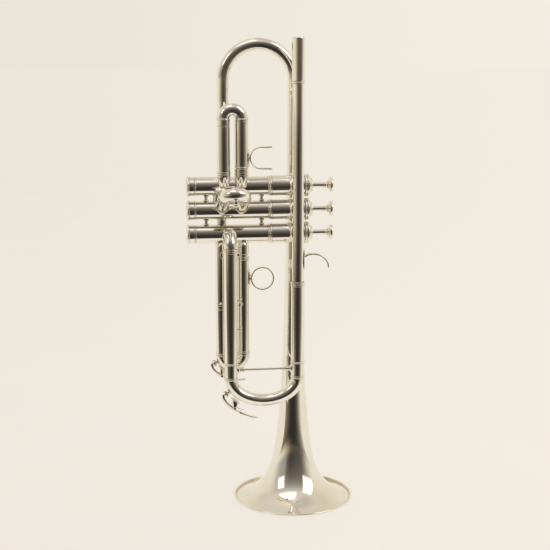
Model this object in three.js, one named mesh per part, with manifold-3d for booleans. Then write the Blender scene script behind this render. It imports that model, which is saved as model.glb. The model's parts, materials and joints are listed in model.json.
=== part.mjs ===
// A trumpet standing on its bell. Millimetres, +Z up.
// +X is the side of the finger buttons, +Z runs up the bell axis to the mouthpiece end and
// -Y is the side of the leadpipe. Every length below is first laid out from the bell axis
// and the plane of the bell rim; the whole group is then centred on its footprint.
import * as THREE from 'three';
import { mergeVertices } from 'three/addons/utils/BufferGeometryUtils.js';
import Module from 'manifold-3d';

const wasm = await Module();
wasm.setup();

// ---------- driving dimensions ----------
const GAP = 0.3; // clearance between pieces that meet face to face
const FINE = 28; // sides of the bell
const ROUND = 16; // sides of valves and caps
const TUBE = 14; // sides of the tubing
const BORED = 8; // sides of a bore that nothing slides in
const SMALL = 10; // sides of rods and screws

const BELL_RIM_R = 61.75;
const BELL_SHAPE = 9; // offset in the bell's power curve
const BELL_POWER = 0.6;
const BELL_WALL = 0.6;
const BELL_TOP = 427.5;
const BOW_Z = 428.9; // where the bow leaves its straight ends
const STEM_R = 6.2; // outside of the bell stem and bow
const BOW_R = 35.2;

const LEAD_Y = -37; // plane of the leadpipe and the main tuning slide
const LEAD_X = -0.9;
const LOW_X = -67.3; // lower leg of the main tuning slide

const VALVE_Y = -18.5;
const VALVE_Z = [327.4, 303.9, 280.4]; // first, second and third valve
const CASING_R = 9.25; // lower casing
const UPPER_R = 10.1; // upper casing
const BORE_R = 8.65;
const PISTON_R = 8.3;
const CASING_X = [-100.7, -25.2, 7.6]; // bottom, step and top of a casing
const FERRULE_R = 7.1;
const CROOK_R = 6.25;

const SLEEVE = { out: 6.65, bore: 6.3 };
const LEG = { out: 5.95, bore: 5.5 };
const SLIM_SLEEVE = { out: 6.1, bore: 5.75 };
const SLIM_LEG = { out: 5.4, bore: 4.95 };

const FIRST = { y: -27, left: -72.4, right: -55.0, crook: 393.3 };
const SECOND = { left: -74.5, right: -55.5, tilt: 22, reach: 55 };
const THIRD = { y: -20, left: -74.7, right: -53.3, crook: 157.6 };
const TUNING = { crook: 137.3, depth: 22.5, seam: 152 };
const [STOP_X, STOP_Y] = [-58, -28.6]; // rod that limits the third slide

// ---------- materials ----------
const finish = (color, roughness, metalness) =>
  new THREE.MeshStandardMaterial({ color, roughness, metalness });
const SILVER = finish(0xcfcabb, 0.12, 1);
const STEEL = finish(0xb9bbbd, 0.3, 1);
const CORK = finish(0x9a7448, 0.9, 0);

// ---------- geometry helpers ----------
const vec = (x, y, z) => new THREE.Vector3(x, y, z);

function volumeOf(geometry) {
  const [a, b, c] = [vec(0, 0, 0), vec(0, 0, 0), vec(0, 0, 0)];
  let volume = 0;
  for (let i = 0; i < geometry.index.count; i += 3) {
    a.fromBufferAttribute(geometry.attributes.position, geometry.index.getX(i));
    b.fromBufferAttribute(geometry.attributes.position, geometry.index.getX(i + 1));
    c.fromBufferAttribute(geometry.attributes.position, geometry.index.getX(i + 2));
    volume += a.dot(b.cross(c)) / 6;
  }
  return volume;
}

// One closed body: shared vertices merged, slivers dropped, faces turned outwards.
function closed(geometry) {
  geometry.deleteAttribute('normal');
  geometry.deleteAttribute('uv');
  const merged = mergeVertices(geometry, 1e-4);
  const kept = [];
  for (let i = 0; i < merged.index.count; i += 3) {
    const [a, b, c] = [0, 1, 2].map((k) => merged.index.getX(i + k));
    if (a !== b && b !== c && c !== a) kept.push(a, b, c);
  }
  merged.setIndex(kept);
  if (volumeOf(merged) < 0) {
    for (let i = 0; i < kept.length; i += 3) [kept[i], kept[i + 1]] = [kept[i + 1], kept[i]];
    merged.setIndex(kept);
  }
  return merged;
}

const solid = (geometry) =>
  new wasm.Manifold(
    new wasm.Mesh({
      numProp: 3,
      vertProperties: new Float32Array(geometry.attributes.position.array),
      triVerts: new Uint32Array(geometry.index.array),
    }),
  );

function geometryOf(manifold) {
  const mesh = manifold.getMesh();
  const geometry = new THREE.BufferGeometry();
  geometry.setAttribute('position', new THREE.BufferAttribute(mesh.vertProperties, 3));
  geometry.setIndex(new THREE.BufferAttribute(mesh.triVerts, 1));
  return geometry;
}

const joined = (first, ...rest) =>
  geometryOf(rest.reduce((sum, piece) => sum.add(solid(piece)), solid(first)));
const cut = (first, ...rest) =>
  geometryOf(rest.reduce((sum, piece) => sum.subtract(solid(piece)), solid(first)));

// Turns a shape made along +Y so that it runs along `direction` from `start`.
function aimed(geometry, start, direction) {
  const turn = new THREE.Quaternion().setFromUnitVectors(vec(0, 1, 0), direction.clone().normalize());
  return geometry.applyQuaternion(turn).translate(start.x, start.y, start.z);
}

// A turned piece: profile pairs are [radius, height along direction], closed by itself or on the axis.
function turned(profile, start, direction, sides = ROUND) {
  const outline = profile.map(([r, h]) => new THREE.Vector2(r, h));
  const closesOnAxis = profile[0][0] === 0 && profile.at(-1)[0] === 0;
  if (!closesOnAxis) outline.push(outline[0].clone());
  return aimed(closed(new THREE.LatheGeometry(outline, sides)), start, direction);
}

const rod = (radius, from, to, sides = SMALL) => {
  const length = from.distanceTo(to);
  return turned([[0, 0], [radius, 0], [radius, length], [0, length]], from, to.clone().sub(from), sides);
};

// A curve that gives back exactly the stations it was made from.
class Stations extends THREE.Curve {
  constructor(points) {
    super();
    this.points = points;
  }
  getPoint(t) {
    return this.points[Math.round(t * (this.points.length - 1))].clone();
  }
  getPointAt(u) {
    return this.getPoint(u);
  }
  // The nearer neighbour counts for more, so a bend starts square to its straight end.
  getTangentAt(u) {
    const last = this.points.length - 1;
    const i = Math.round(u * last);
    const tangent = vec(0, 0, 0);
    for (const [from, to] of [[i - 1, i], [i, i + 1]]) {
      if (from < 0 || to > last) continue;
      const step = this.points[to].clone().sub(this.points[from]);
      tangent.addScaledVector(step, 1 / step.lengthSq());
    }
    return tangent.normalize();
  }
}

function circle(radius, sides) {
  const at = (i) => ((i + 0.5) * 2 * Math.PI) / sides;
  const corners = Array.from({ length: sides }, (_, i) =>
    new THREE.Vector2(radius * Math.cos(at(i)), radius * Math.sin(at(i))));
  return corners;
}

// A tube through stations of [point, outer radius, bore radius]; a bore of 0 makes it solid.
function swept(stations, sides = TUBE, boreSides = BORED) {
  const path = new Stations(stations.map(([point]) => point));
  const section = new THREE.Shape(circle(2, sides));
  if (stations[0][2] > 0) section.holes.push(new THREE.Path(circle(1, boreSides)));
  const tube = new THREE.ExtrudeGeometry(section, { steps: stations.length - 1, extrudePath: path });
  const corners = tube.attributes.position;
  const tangents = stations.map((_, i) => path.getTangentAt(i / (stations.length - 1)));
  for (let k = 0; k < corners.count; k += 1) {
    const corner = vec(0, 0, 0).fromBufferAttribute(corners, k);
    const errors = stations.map(([point], i) => {
      const reach = corner.distanceTo(point);
      const rise = Math.abs(corner.clone().sub(point).dot(tangents[i]));
      return rise + Math.min(Math.abs(reach - 1), Math.abs(reach - 2));
    });
    const [point, out, bore] = stations[errors.indexOf(Math.min(...errors))];
    const spoke = corner.sub(point);
    spoke.setLength(spoke.length() > 1.5 ? out : bore);
    corners.setXYZ(k, point.x + spoke.x, point.y + spoke.y, point.z + spoke.z);
  }
  return closed(tube);
}

// A tube of constant section through the given points.
const pipe = (points, size, sides = TUBE) =>
  swept(points.map((point) => [point, size.out, size.bore]), sides);

// Stations of an arc about `centre`, from direction `from` towards direction `to`.
function arc(centre, from, to, steps, sweep = Math.PI / 2) {
  return Array.from({ length: steps + 1 }, (_, i) => {
    const angle = (sweep * i) / steps;
    return centre.clone().addScaledVector(from, Math.cos(angle)).addScaledVector(to, Math.sin(angle));
  });
}

// A flat plate: an outline in X and Z, `width` thick about the plane y.
function plate(outline, y, width) {
  const shape = new THREE.Shape(outline.map(([x, z]) => new THREE.Vector2(x, z)));
  const body = new THREE.ExtrudeGeometry(shape, { depth: width, bevelEnabled: false, steps: 1 });
  return closed(body.rotateX(Math.PI / 2).translate(0, y + width / 2, 0));
}

// A strip of even thickness along a line in X and Z.
function strip(line, thickness, y, width) {
  const side = (sign) => line.map(([x, z], i) => {
    const [ax, az] = line[Math.max(i - 1, 0)];
    const [bx, bz] = line[Math.min(i + 1, line.length - 1)];
    const length = Math.hypot(bx - ax, bz - az);
    const half = (sign * thickness) / 2;
    return [x - (half * (bz - az)) / length, z + (half * (bx - ax)) / length];
  });
  return plate([...side(1), ...side(-1).reverse()], y, width);
}

// A ring bead or ferrule around a tube that runs along `direction`.
const collar = (bore, out, length, start, direction, sides = TUBE) =>
  turned([[bore, 0], [out, 0], [out, length], [bore, length]], start, direction, sides);

const UP = vec(0, 0, 1);
const RIGHT = vec(1, 0, 0);
const AWAY = vec(0, 1, 0);

const group = new THREE.Group();
function add(name, geometry, material = SILVER) {
  const mesh = new THREE.Mesh(geometry, material);
  mesh.name = name;
  group.add(mesh);
}

// Room that a valve casing takes, for shaping what is soldered to it.
const casingRoom = (z, radius = CASING_R + GAP) =>
  rod(radius, vec(-120, VALVE_Y, z), vec(30, VALVE_Y, z), ROUND);
const tubeRoom = (x, y, radius, low, high) =>
  rod(radius + GAP, vec(x, y, low), vec(x, y, high), TUBE);

// ---------- bell ----------
const bellRadius = (z) =>
  Math.max(STEM_R, BELL_RIM_R * Math.pow(BELL_SHAPE / (z + BELL_SHAPE), BELL_POWER));

function bell() {
  const count = 11;
  const bead = 1.2;
  const start = 1.0 + BELL_SHAPE;
  const growth = Math.pow((BELL_TOP - GAP / 2 + BELL_SHAPE) / start, 1 / count);
  const outer = Array.from({ length: count + 1 }, (_, i) => {
    const z = start * Math.pow(growth, i) - BELL_SHAPE;
    return [bellRadius(z), z];
  });
  const inner = outer.map(([r, z], i) => {
    const [ra, za] = outer[Math.max(i - 1, 0)];
    const [rb, zb] = outer[Math.min(i + 1, count)];
    const length = Math.hypot(rb - ra, zb - za);
    const level = i === 0 || i === count ? 0 : (BELL_WALL * (rb - ra)) / length;
    return [r - (BELL_WALL * (zb - za)) / length, z + level];
  });
  inner[0] = [outer[0][0] - BELL_WALL, outer[0][1] - BELL_WALL];
  const centre = BELL_RIM_R - bead;
  const edge = [[centre - bead, 0.3], [centre - 0.5, 0], [centre + 0.5, 0], [centre + 1.0, 0.5],
    [BELL_RIM_R, bead], [centre + 0.85, 2.05], [centre, 2 * bead], [centre - 0.85, 2.05]];
  const profile = [...inner.reverse(), ...edge, ...outer];
  add('bell', turned(profile, vec(0, 0, 0), UP, FINE));
}

function bellBow() {
  const size = { out: STEM_R, bore: STEM_R - 0.5 };
  const seam = BELL_TOP + GAP / 2;
  const over = arc(vec(-BOW_R, 0, BOW_Z), vec(BOW_R, 0, 0), vec(0, 0, BOW_R), 12, Math.PI);
  add('bell_bow', pipe([vec(0, 0, seam), ...over, vec(-2 * BOW_R, 0, seam)], size));

  const x = -2 * BOW_R;
  const drop = [[0, BELL_TOP - GAP / 2], [0, 402], [-1.2, 388], [-4.2, 372], [-8, 357],
    [-11.5, 344], [-14.5, 334], [-16.5, 327]];
  const tail = pipe(drop.map(([y, z]) => vec(x, y, z)), { out: 5.95, bore: 5.45 });
  add('bell_tail', cut(tail, casingRoom(VALVE_Z[0])));
}

// ---------- leadpipe and main tuning sleeves ----------
function leadpipe() {
  const ring = 428.1;
  add('mouthpiece_receiver', turned([[4.9, 442], [5.2, 470.3], [6.0, 470.3], [6.45, 469.4], [6.45, 444],
    [6.3, 431], [6.75, 430.4], [6.75, 428.6], [6.2, ring], [6.2, 426], [5.95, 426], [5.95, 441], [4.5, 441]],
  vec(LEAD_X, LEAD_Y, 0), UP, TUBE));
  add('leadpipe', turned([[4.4, 440.5], [4.9, 234.5], [6.0, 234.5], [5.6, 440.5]],
    vec(LEAD_X, LEAD_Y, 0), UP, TUBE));
}

function tuningSleeves() {
  const profile = (top) => [[SLEEVE.bore, TUNING.seam + GAP], [7.2, TUNING.seam + GAP], [7.2, 153.8],
    [SLEEVE.out, 153.8], [SLEEVE.out, top - 4], [7.1, top - 4], [7.1, top], [SLEEVE.bore, top]];
  add('upper_tuning_sleeve', turned(profile(234.2), vec(LEAD_X, LEAD_Y, 0), UP, TUBE));
  add('lower_tuning_sleeve', turned(profile(267.9), vec(LOW_X, LEAD_Y, 0), UP, TUBE));
  const bend = 12;
  const turn = arc(vec(LOW_X, LEAD_Y + bend, 268.4), vec(0, -bend, 0), vec(0, 0, bend), 5);
  const elbow = pipe([vec(LOW_X, LEAD_Y, 268.2), ...turn, vec(LOW_X, VALVE_Y - 4, 280.4)],
    { out: SLEEVE.out, bore: LEG.bore });
  add('lower_tuning_elbow', cut(elbow, casingRoom(VALVE_Z[2])));
}

// ---------- valves ----------
function valveCasing(index) {
  const z = VALVE_Z[index];
  const [bottom, step, top] = CASING_X;
  const profile = [[BORE_R, bottom], [CASING_R, bottom], [CASING_R, step - 1.2], [10.4, step - 0.6],
    [10.4, step + 0.8], [UPPER_R, step + 1.4], [UPPER_R, -6.2], [9.7, -5.2], [9.5, top], [BORE_R, top]];
  add(`valve_casing_${index + 1}`, turned(profile, vec(0, VALVE_Y, z), RIGHT));
}

function bottomCap(index) {
  const seat = CASING_X[0] - GAP;
  const profile = [[1.6, -108.2], [9.5, -108.2], [10.1, -107.6], [10.1, -106.7], [9.0, -105.4],
    [8.9, -104.4], [9.8, -103.2], [9.8, seat], [8.4, seat], [8.4, -106.4], [1.6, -106.4]];
  add(`bottom_cap_${index + 1}`, turned(profile, vec(0, VALVE_Y, VALVE_Z[index]), RIGHT));
}

function topCap(index) {
  const seat = CASING_X[2] + GAP;
  const profile = [[8.6, seat], [10.9, seat], [11.15, 8.6], [11.15, 11.8], [10.6, 12.6], [8.2, 13.4],
    [6.6, 15.0], [5.2, 16.1], [3.1, 16.1], [3.1, 11.6], [8.6, 11.6]];
  add(`top_cap_${index + 1}`, turned(profile, vec(0, VALVE_Y, VALVE_Z[index]), RIGHT));
}

// Tube link between two neighbouring casings.
function valveLink(name, x, upper, lower) {
  const tube = pipe([vec(x, VALVE_Y, VALVE_Z[upper]), vec(x, VALVE_Y, VALVE_Z[lower])],
    { out: 4.6, bore: 3.9 }, 12);
  add(name, cut(tube, casingRoom(VALVE_Z[upper]), casingRoom(VALVE_Z[lower])));
}

// Spool-shaped post that holds two casings apart.
function casingPost(name, x, upper, lower) {
  const length = VALVE_Z[upper] - VALVE_Z[lower];
  const middle = length / 2;
  const profile = [[0, 0], [2.75, 0], [2.75, middle - 1.6], [1.5, middle - 0.7], [1.5, middle + 0.7],
    [2.75, middle + 1.6], [2.75, length], [0, length]];
  const spool = turned(profile, vec(x, VALVE_Y, VALVE_Z[lower]), UP, SMALL);
  add(name, cut(spool, casingRoom(VALVE_Z[upper]), casingRoom(VALVE_Z[lower])));
}

// The piston is a thin tube with three windway tubes through it; on its top are the spring
// barrel and the stem.
function piston(index) {
  const z = VALVE_Z[index];
  const [floor, neck, lid] = [-82, -30, 2];
  const shell = turned([[0, lid - 2], [6.9, lid - 2], [6.9, neck - 1.5], [7.6, neck - 1.5], [7.6, floor],
    [PISTON_R, floor], [PISTON_R, neck], [7.5, neck], [7.5, lid], [2.5, lid], [2.5, 29.6], [0, 29.6]],
  vec(0, VALVE_Y, z), RIGHT, TUBE);
  const body = rod(PISTON_R - 0.05, vec(floor, VALVE_Y, z), vec(neck, VALVE_Y, z), TUBE);
  const across = (radius, i, half) => {
    const angle = THREE.MathUtils.degToRad([90, 150, 30][i]);
    const way = vec(0, Math.cos(angle), Math.sin(angle)).multiplyScalar(half);
    const centre = vec([-73.5, -57, -40.5][i], VALVE_Y, z);
    return rod(radius, centre.clone().sub(way), centre.clone().add(way), BORED);
  };
  const order = [0, 1, 2];
  const ways = order.map((i) => solid(across(5.4, i, 12)).intersect(solid(body)));
  const whole = ways.reduce((sum, way) => sum.add(way), solid(shell));
  const bores = order.map((i) => solid(across(4.8, i, 12)));
  const slot = solid(plate([[-28.5, z - 1.6], [-10, z - 1.6], [-10, z + 1.6], [-28.5, z + 1.6]], VALVE_Y, 20));
  const made = bores.reduce((sum, bore) => sum.subtract(bore), whole).subtract(slot);
  add(`piston_${index + 1}`, geometryOf(made));
}

// Star-shaped guide that rides in the slots of the spring barrel.
function valveGuide(index) {
  const z = VALVE_Z[index];
  const hub = turned([[2.0, -27.8], [5.6, -27.8], [5.6, -25.8], [2.0, -25.8]], vec(0, VALVE_Y, z), RIGHT, BORED);
  const arm = plate([[-27.6, z - 1.2], [-26, z - 1.2], [-26, z + 1.2], [-27.6, z + 1.2]], VALVE_Y, 16.4);
  const clear = rod(2.0, vec(-30, VALVE_Y, z), vec(-20, VALVE_Y, z), 12);
  add(`valve_guide_${index + 1}`, cut(joined(hub, arm), clear));
}

function valveSpring(index) {
  const coil = { from: -25.2, to: -0.7, radius: 4.9, wire: 0.5, turns: 4, steps: 7 };
  const count = coil.turns * coil.steps;
  const points = Array.from({ length: count + 1 }, (_, i) => {
    const angle = (2 * Math.PI * i) / coil.steps;
    const x = coil.from + ((coil.to - coil.from) * i) / count;
    return vec(x, VALVE_Y + coil.radius * Math.cos(angle), VALVE_Z[index] + coil.radius * Math.sin(angle));
  });
  add(`valve_spring_${index + 1}`, pipe(points, { out: coil.wire, bore: 0 }, 4), STEEL);
}

function fingerButton(index) {
  const centre = vec(0, VALVE_Y, VALVE_Z[index]);
  const button = [[0, 30], [3.1, 30], [3.6, 31.4], [6.4, 32.6], [7.6, 33.8], [7.6, 35.2], [6.9, 36.2],
    [5.6, 36.4], [3.0, 35.7], [0, 35.5]];
  add(`finger_button_${index + 1}`, turned(button, centre, RIGHT));
}

// ---------- first slide: its right-hand side is reversed, the outer tube moves ----------
function firstSlide() {
  const { y, left, right, crook } = FIRST;
  const bend = 10;
  const knuckle = (x) => {
    const turn = arc(vec(x, y + bend, 338.2), vec(0, -bend, 0), vec(0, 0, -bend), 4);
    return [...turn, vec(x, VALVE_Y + 3, 328.2)].map((point) => [point, SLEEVE.out, LEG.bore]);
  };
  const on = (x, rows) => rows.map(([z, out, bore]) => [vec(x, y, z), out, bore]);
  const fixedLeft = on(left, [[386, SLEEVE.out, SLEEVE.bore], [342.8, SLEEVE.out, SLEEVE.bore],
    [342.5, FERRULE_R, SLEEVE.bore], [339.7, FERRULE_R, LEG.bore], [339.4, SLEEVE.out, LEG.bore]]);
  add('first_slide_fixed_sleeve', cut(swept([...fixedLeft, ...knuckle(left)], TUBE, TUBE), casingRoom(VALVE_Z[0])));
  const fixedRight = on(right, [[383, LEG.out, LEG.bore], [345.5, LEG.out, LEG.bore],
    [345.2, FERRULE_R, LEG.bore], [339.7, FERRULE_R, LEG.bore], [339.4, SLEEVE.out, LEG.bore]]);
  add('first_slide_fixed_leg', cut(swept([...fixedRight, ...knuckle(right)]), casingRoom(VALVE_Z[0])));

  const radius = (right - left) / 2;
  const over = arc(vec(left + radius, y, crook), vec(-radius, 0, 0), vec(0, 0, radius), 8, Math.PI)
    .map((point) => [point, CROOK_R, LEG.bore]);
  const rise = on(left, [[345, LEG.out, LEG.bore], [386.3, LEG.out, LEG.bore], [386.6, SLEEVE.out, LEG.bore],
    [390.9, SLEEVE.out, LEG.bore], [391.2, FERRULE_R, LEG.bore], [392.9, FERRULE_R, LEG.bore]]);
  const fall = on(right, [[392.9, FERRULE_R, LEG.bore], [391.2, FERRULE_R, LEG.bore]]);
  add('first_slide_crook', swept([...rise, ...over, ...fall]));
  add('first_slide_moving_sleeve', turned([[SLEEVE.bore, 346], [7.0, 346], [7.0, 347.4],
    [SLEEVE.out, 347.5], [SLEEVE.out, 390.9], [SLEEVE.bore, 390.9]], vec(right, y, 0), UP, TUBE));
}

// Open saddle for the thumb, soldered to the moving sleeve of the first slide.
function thumbSaddle() {
  const z = 355.3;
  const radius = 10.3;
  const centre = -36.4;
  const round = Array.from({ length: 9 }, (_, i) => {
    const angle = Math.PI / 2 + (Math.PI * i) / 8;
    return [centre + radius * Math.cos(angle), z + radius * Math.sin(angle)];
  });
  const line = [[-24.9, z + radius + 0.5], [-27, z + radius], ...round, [-27, z - radius], [-24.9, z - radius - 0.5]];
  const hook = strip(line, 1.3, FIRST.y, 7.6);
  const foot = plate([[-51, z - 6.5], [-46.6, z - 5], [-46.6, z + 5], [-51, z + 6.5]], FIRST.y, 5);
  const room = tubeRoom(FIRST.right, FIRST.y, SLEEVE.out, 330, 380);
  add('thumb_saddle', cut(joined(hook, foot), room));
}

// ---------- second slide ----------
function secondSlide() {
  const tilt = THREE.MathUtils.degToRad(SECOND.tilt);
  const out = vec(0, -Math.cos(tilt), Math.sin(tilt));
  const down = vec(0, -Math.sin(tilt), -Math.cos(tilt));
  const at = (x, d) => vec(x, VALVE_Y, VALVE_Z[1]).addScaledVector(out, d);
  const seam = 38;
  const outline = [[SLIM_LEG.bore, 3], [SLIM_SLEEVE.out, 3], [SLIM_SLEEVE.out, 14.4], [6.9, 14.5], [6.9, 16],
    [SLIM_SLEEVE.out, 16.1], [SLIM_SLEEVE.out, seam], [SLIM_SLEEVE.bore, seam], [SLIM_SLEEVE.bore, 16],
    [SLIM_LEG.bore, 15.9]];
  const neighbours = VALVE_Z.map((z) => casingRoom(z));
  for (const [side, x] of [['left', SECOND.left], ['right', SECOND.right]]) {
    add(`second_slide_sleeve_${side}`, cut(turned(outline, at(x, 0), out, TUBE), ...neighbours));
  }
  const radius = (SECOND.right - SECOND.left) / 2;
  const middle = (SECOND.right + SECOND.left) / 2;
  const bend = SECOND.reach - radius;
  const over = arc(at(middle, bend), vec(-radius, 0, 0), out.clone().multiplyScalar(radius), 8, Math.PI)
    .map((point) => [point, SLIM_SLEEVE.out, SLIM_LEG.bore]);
  const leg = (x) => [[17, SLIM_LEG.out], [seam + 0.3, SLIM_LEG.out], [seam + 0.6, 6.6], [bend - 0.4, 6.6]]
    .map(([d, size]) => [at(x, d), size, SLIM_LEG.bore]);
  const tube = swept([...leg(SECOND.left), ...over, ...leg(SECOND.right).reverse()]);
  const knob = turned([[0, 0], [1.6, 0], [1.6, 1.8], [3.4, 4.8], [3.6, 6], [3.1, 6.8], [0, 7.1]],
    at(middle, SECOND.reach).addScaledVector(down, SLIM_SLEEVE.out - 0.4), down, SMALL);
  add('second_slide_crook', joined(tube, knob));
}

// ---------- third slide: reversed on its right-hand side like the first ----------
const THIRD_MIDDLE = (THIRD.left + THIRD.right) / 2;
const THIRD_BEND = (THIRD.right - THIRD.left) / 2;
const thirdStations = (steps) =>
  arc(vec(THIRD_MIDDLE, THIRD.y, THIRD.crook), vec(-THIRD_BEND, 0, 0), vec(0, 0, -THIRD_BEND), steps, Math.PI);

function thirdSlide(spout) {
  const { y, left, right } = THIRD;
  const room = casingRoom(VALVE_Z[2]);
  const wall = SLIM_LEG.bore;
  const sleeveLeft = turned([[SLIM_SLEEVE.bore, 206], [SLIM_SLEEVE.out, 206], [SLIM_SLEEVE.out, 280],
    [wall, 280], [wall, 262.2], [SLIM_SLEEVE.bore, 262]], vec(left, y, 0), UP, TUBE);
  add('third_slide_fixed_sleeve', cut(sleeveLeft, room));
  const legRight = turned([[wall, 186], [SLIM_LEG.out, 186], [SLIM_LEG.out, 260], [SLIM_SLEEVE.out, 260.2],
    [SLIM_SLEEVE.out, 280], [wall, 280]], vec(right, y, 0), UP, TUBE);
  add('third_slide_fixed_leg', cut(legRight, room));

  const on = (x, rows) => rows.map(([z, out]) => [vec(x, y, z), out, wall]);
  const under = thirdStations(8).map((point) => [point, SLIM_SLEEVE.out, wall]);
  const fall = on(left, [[255, SLIM_LEG.out], [205.2, SLIM_LEG.out], [204.9, SLIM_SLEEVE.out],
    [160.4, SLIM_SLEEVE.out], [160.1, 6.6], [158, 6.6]]);
  const rise = on(right, [[158, 6.6], [160.1, 6.6]]);
  add('third_slide_crook', joined(swept([...fall, ...under, ...rise]), spout));

  const sleeve = turned([[SLIM_SLEEVE.bore, 160.4], [SLIM_SLEEVE.out, 160.4], [SLIM_SLEEVE.out, 256],
    [6.7, 256.1], [6.7, 257.6], [SLIM_SLEEVE.bore, 257.6]], vec(right, y, 0), UP, TUBE);
  const eye = { z: 210.4, half: 1.2 };
  const tab = plate([[-60.2, eye.z - eye.half], [-55.8, eye.z - eye.half], [-55.8, eye.z + eye.half],
    [-60.2, eye.z + eye.half]], -26.6, 7.8);
  const bore = rod(SLIM_SLEEVE.bore + 0.05, vec(right, y, 200), vec(right, y, 220), TUBE);
  const hole = rod(1.5, vec(STOP_X, STOP_Y, 200), vec(STOP_X, STOP_Y, 220), BORED);
  add('third_slide_moving_sleeve', joined(sleeve, cut(tab, bore, hole)));
}

// Rod with two nuts that limits how far the third slide is drawn; it hangs on the fixed sleeve.
function stopRod() {
  const nut = (low) => turned([[0.8, 0], [2.3, 0.4], [2.3, 2.6], [0.8, 3]], vec(STOP_X, STOP_Y, low), UP, SMALL);
  const shaft = rod(1.0, vec(STOP_X, STOP_Y, 183.8), vec(STOP_X, STOP_Y, 263), BORED);
  const arm = plate([[-73, 259.4], [-57, 259.4], [-57, 261.6], [-73, 261.6]], -28.1, 3.2);
  const saddle = plate([[-77.4, 256.5], [-70.4, 256.5], [-70.4, 264], [-77.4, 264]], -26.1, 3.6);
  const room = [tubeRoom(THIRD.left, THIRD.y, SLIM_SLEEVE.out, 200, 275),
    tubeRoom(THIRD.right, THIRD.y, 6.7, 150, 275)];
  add('third_slide_stop_rod', cut(joined(shaft, nut(213.4), nut(184), arm, saddle), ...room));
}

function fingerRing() {
  const [x, z, out, wall] = [-34.2, 235.4, 11.65, 1.35];
  const band = turned([[out - wall, -3.4], [out, -3.4], [out, 3.4], [out - wall, 3.4]],
    vec(x, THIRD.y, z), AWAY, ROUND);
  const foot = plate([[-49.5, z - 8.5], [-47.2, z - 8.5], [-44.9, z - 3.6], [-44.9, z + 3.6], [-47.2, z + 8.5],
    [-49.5, z + 8.5]], THIRD.y, 5.2);
  const hollow = rod(out - wall / 2, vec(x, -30, z), vec(x, -10, z), ROUND);
  const sleeveRoom = tubeRoom(THIRD.right, THIRD.y, SLIM_SLEEVE.out, 200, 270);
  add('finger_ring', joined(cut(foot, sleeveRoom, hollow), band));
}

// ---------- main tuning slide ----------
const ellipse = (angle, grow = 0) => {
  const half = (LEAD_X - LOW_X) / 2;
  const middle = (LEAD_X + LOW_X) / 2;
  return [middle - (half + grow) * Math.cos(angle), TUNING.crook - (TUNING.depth + grow) * Math.sin(angle)];
};

function tuningStations(steps) {
  return Array.from({ length: steps + 1 }, (_, i) => {
    const [x, z] = ellipse((Math.PI * i) / steps);
    return vec(x, LEAD_Y, z);
  });
}

function tuningSlide(spout) {
  const { crook, seam } = TUNING;
  const rows = [[222, LEG.out], [seam, LEG.out], [seam - 0.3, SLEEVE.out], [crook + 1.8, SLEEVE.out],
    [crook + 1.5, FERRULE_R], [crook + 0.4, FERRULE_R]];
  const leg = (x) => rows.map(([z, out]) => [vec(x, LEAD_Y, z), out, LEG.bore]);
  const under = tuningStations(12).map((point) => [point, CROOK_R, LEG.bore]);
  const tube = swept([...leg(LOW_X), ...under, ...leg(LEAD_X).reverse()]);
  add('tuning_crook', joined(tube, spout));

  const z = 146.5;
  const [start, end] = [LOW_X + SLEEVE.out + GAP, LEAD_X - SLEEVE.out - GAP];
  const length = end - start;
  const profile = [[0, 0], [3.2, 0], [3.0, 0.8], [2.2, 1.6], [2.2, 5.4], [1.3, 6.2], [1.3, length - 6.2],
    [2.2, length - 5.4], [2.2, length - 1.6], [3.0, length - 0.8], [3.2, length], [0, length]];
  add('tuning_brace', turned(profile, vec(start, LEAD_Y, z), RIGHT, 12));
}

// ---------- water keys ----------
// The spout that a water key closes: a short solid boss on the outside of a crook.
const keySpout = (y, nipple, normal) =>
  rod(2.4, vec(nipple[0] - normal[0] * 2, y, nipple[1] - normal[1] * 2),
    vec(nipple[0] + normal[0] * 1.6, y, nipple[1] + normal[1] * 1.6), BORED);

// Saddle with two ears on a crook, and a lever that holds a cork on the nipple.
function waterKey(name, y, nipple, normal, pivot, lever) {
  const along = vec(normal[0], 0, normal[1]).normalize();
  const seat = vec(nipple[0], y, nipple[1]);
  const cork = rod(2.9, seat.clone().addScaledVector(along, 2.0), seat.clone().addScaledVector(along, 3.9));
  const cup = turned([[0, 4.9], [2.9, 4.9], [3.5, 4.2], [3.5, 2.9], [3.15, 2.9], [3.15, 4.15], [0, 4.15]],
    seat, along, SMALL);
  const arm = strip(lever, 1.7, y, 3.2);
  const boss = rod(2.3, vec(pivot[0], y - 1.6, pivot[1]), vec(pivot[0], y + 1.6, pivot[1]), 12);
  const tip = lever.at(-1);
  const before = lever.at(-3);
  const pad = strip([before, lever.at(-2), tip], 1.5, y, 6.4);
  const hole = rod(1.2, vec(pivot[0], y - 5, pivot[1]), vec(pivot[0], y + 5, pivot[1]), 12);
  const pocket = rod(3.15, seat.clone().addScaledVector(along, 1.5), seat.clone().addScaledVector(along, 4.15));
  add(`${name}_lever`, cut(joined(arm, boss, pad, cup), hole, pocket));
  add(`${name}_cork`, cork, CORK);
}

function keySaddle(name, y, pivot, foot, crookRoom) {
  const ear = (side) => plate([[foot[0][0], foot[0][1]], [pivot[0] - 1.9, pivot[1] - 0.6], [pivot[0], pivot[1] - 2.1],
    [pivot[0] + 1.9, pivot[1] - 0.6], [foot[1][0], foot[1][1]]], y + side * 2.5, 1.1);
  const base = plate([foot[0], foot[1], foot[2], foot[3]], y, 6.1);
  const screw = rod(0.85, vec(pivot[0], y - 3.5, pivot[1]), vec(pivot[0], y + 3.5, pivot[1]), 12);
  add(`${name}_saddle`, cut(joined(base, ear(-1), ear(1), screw), crookRoom));
}

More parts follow.
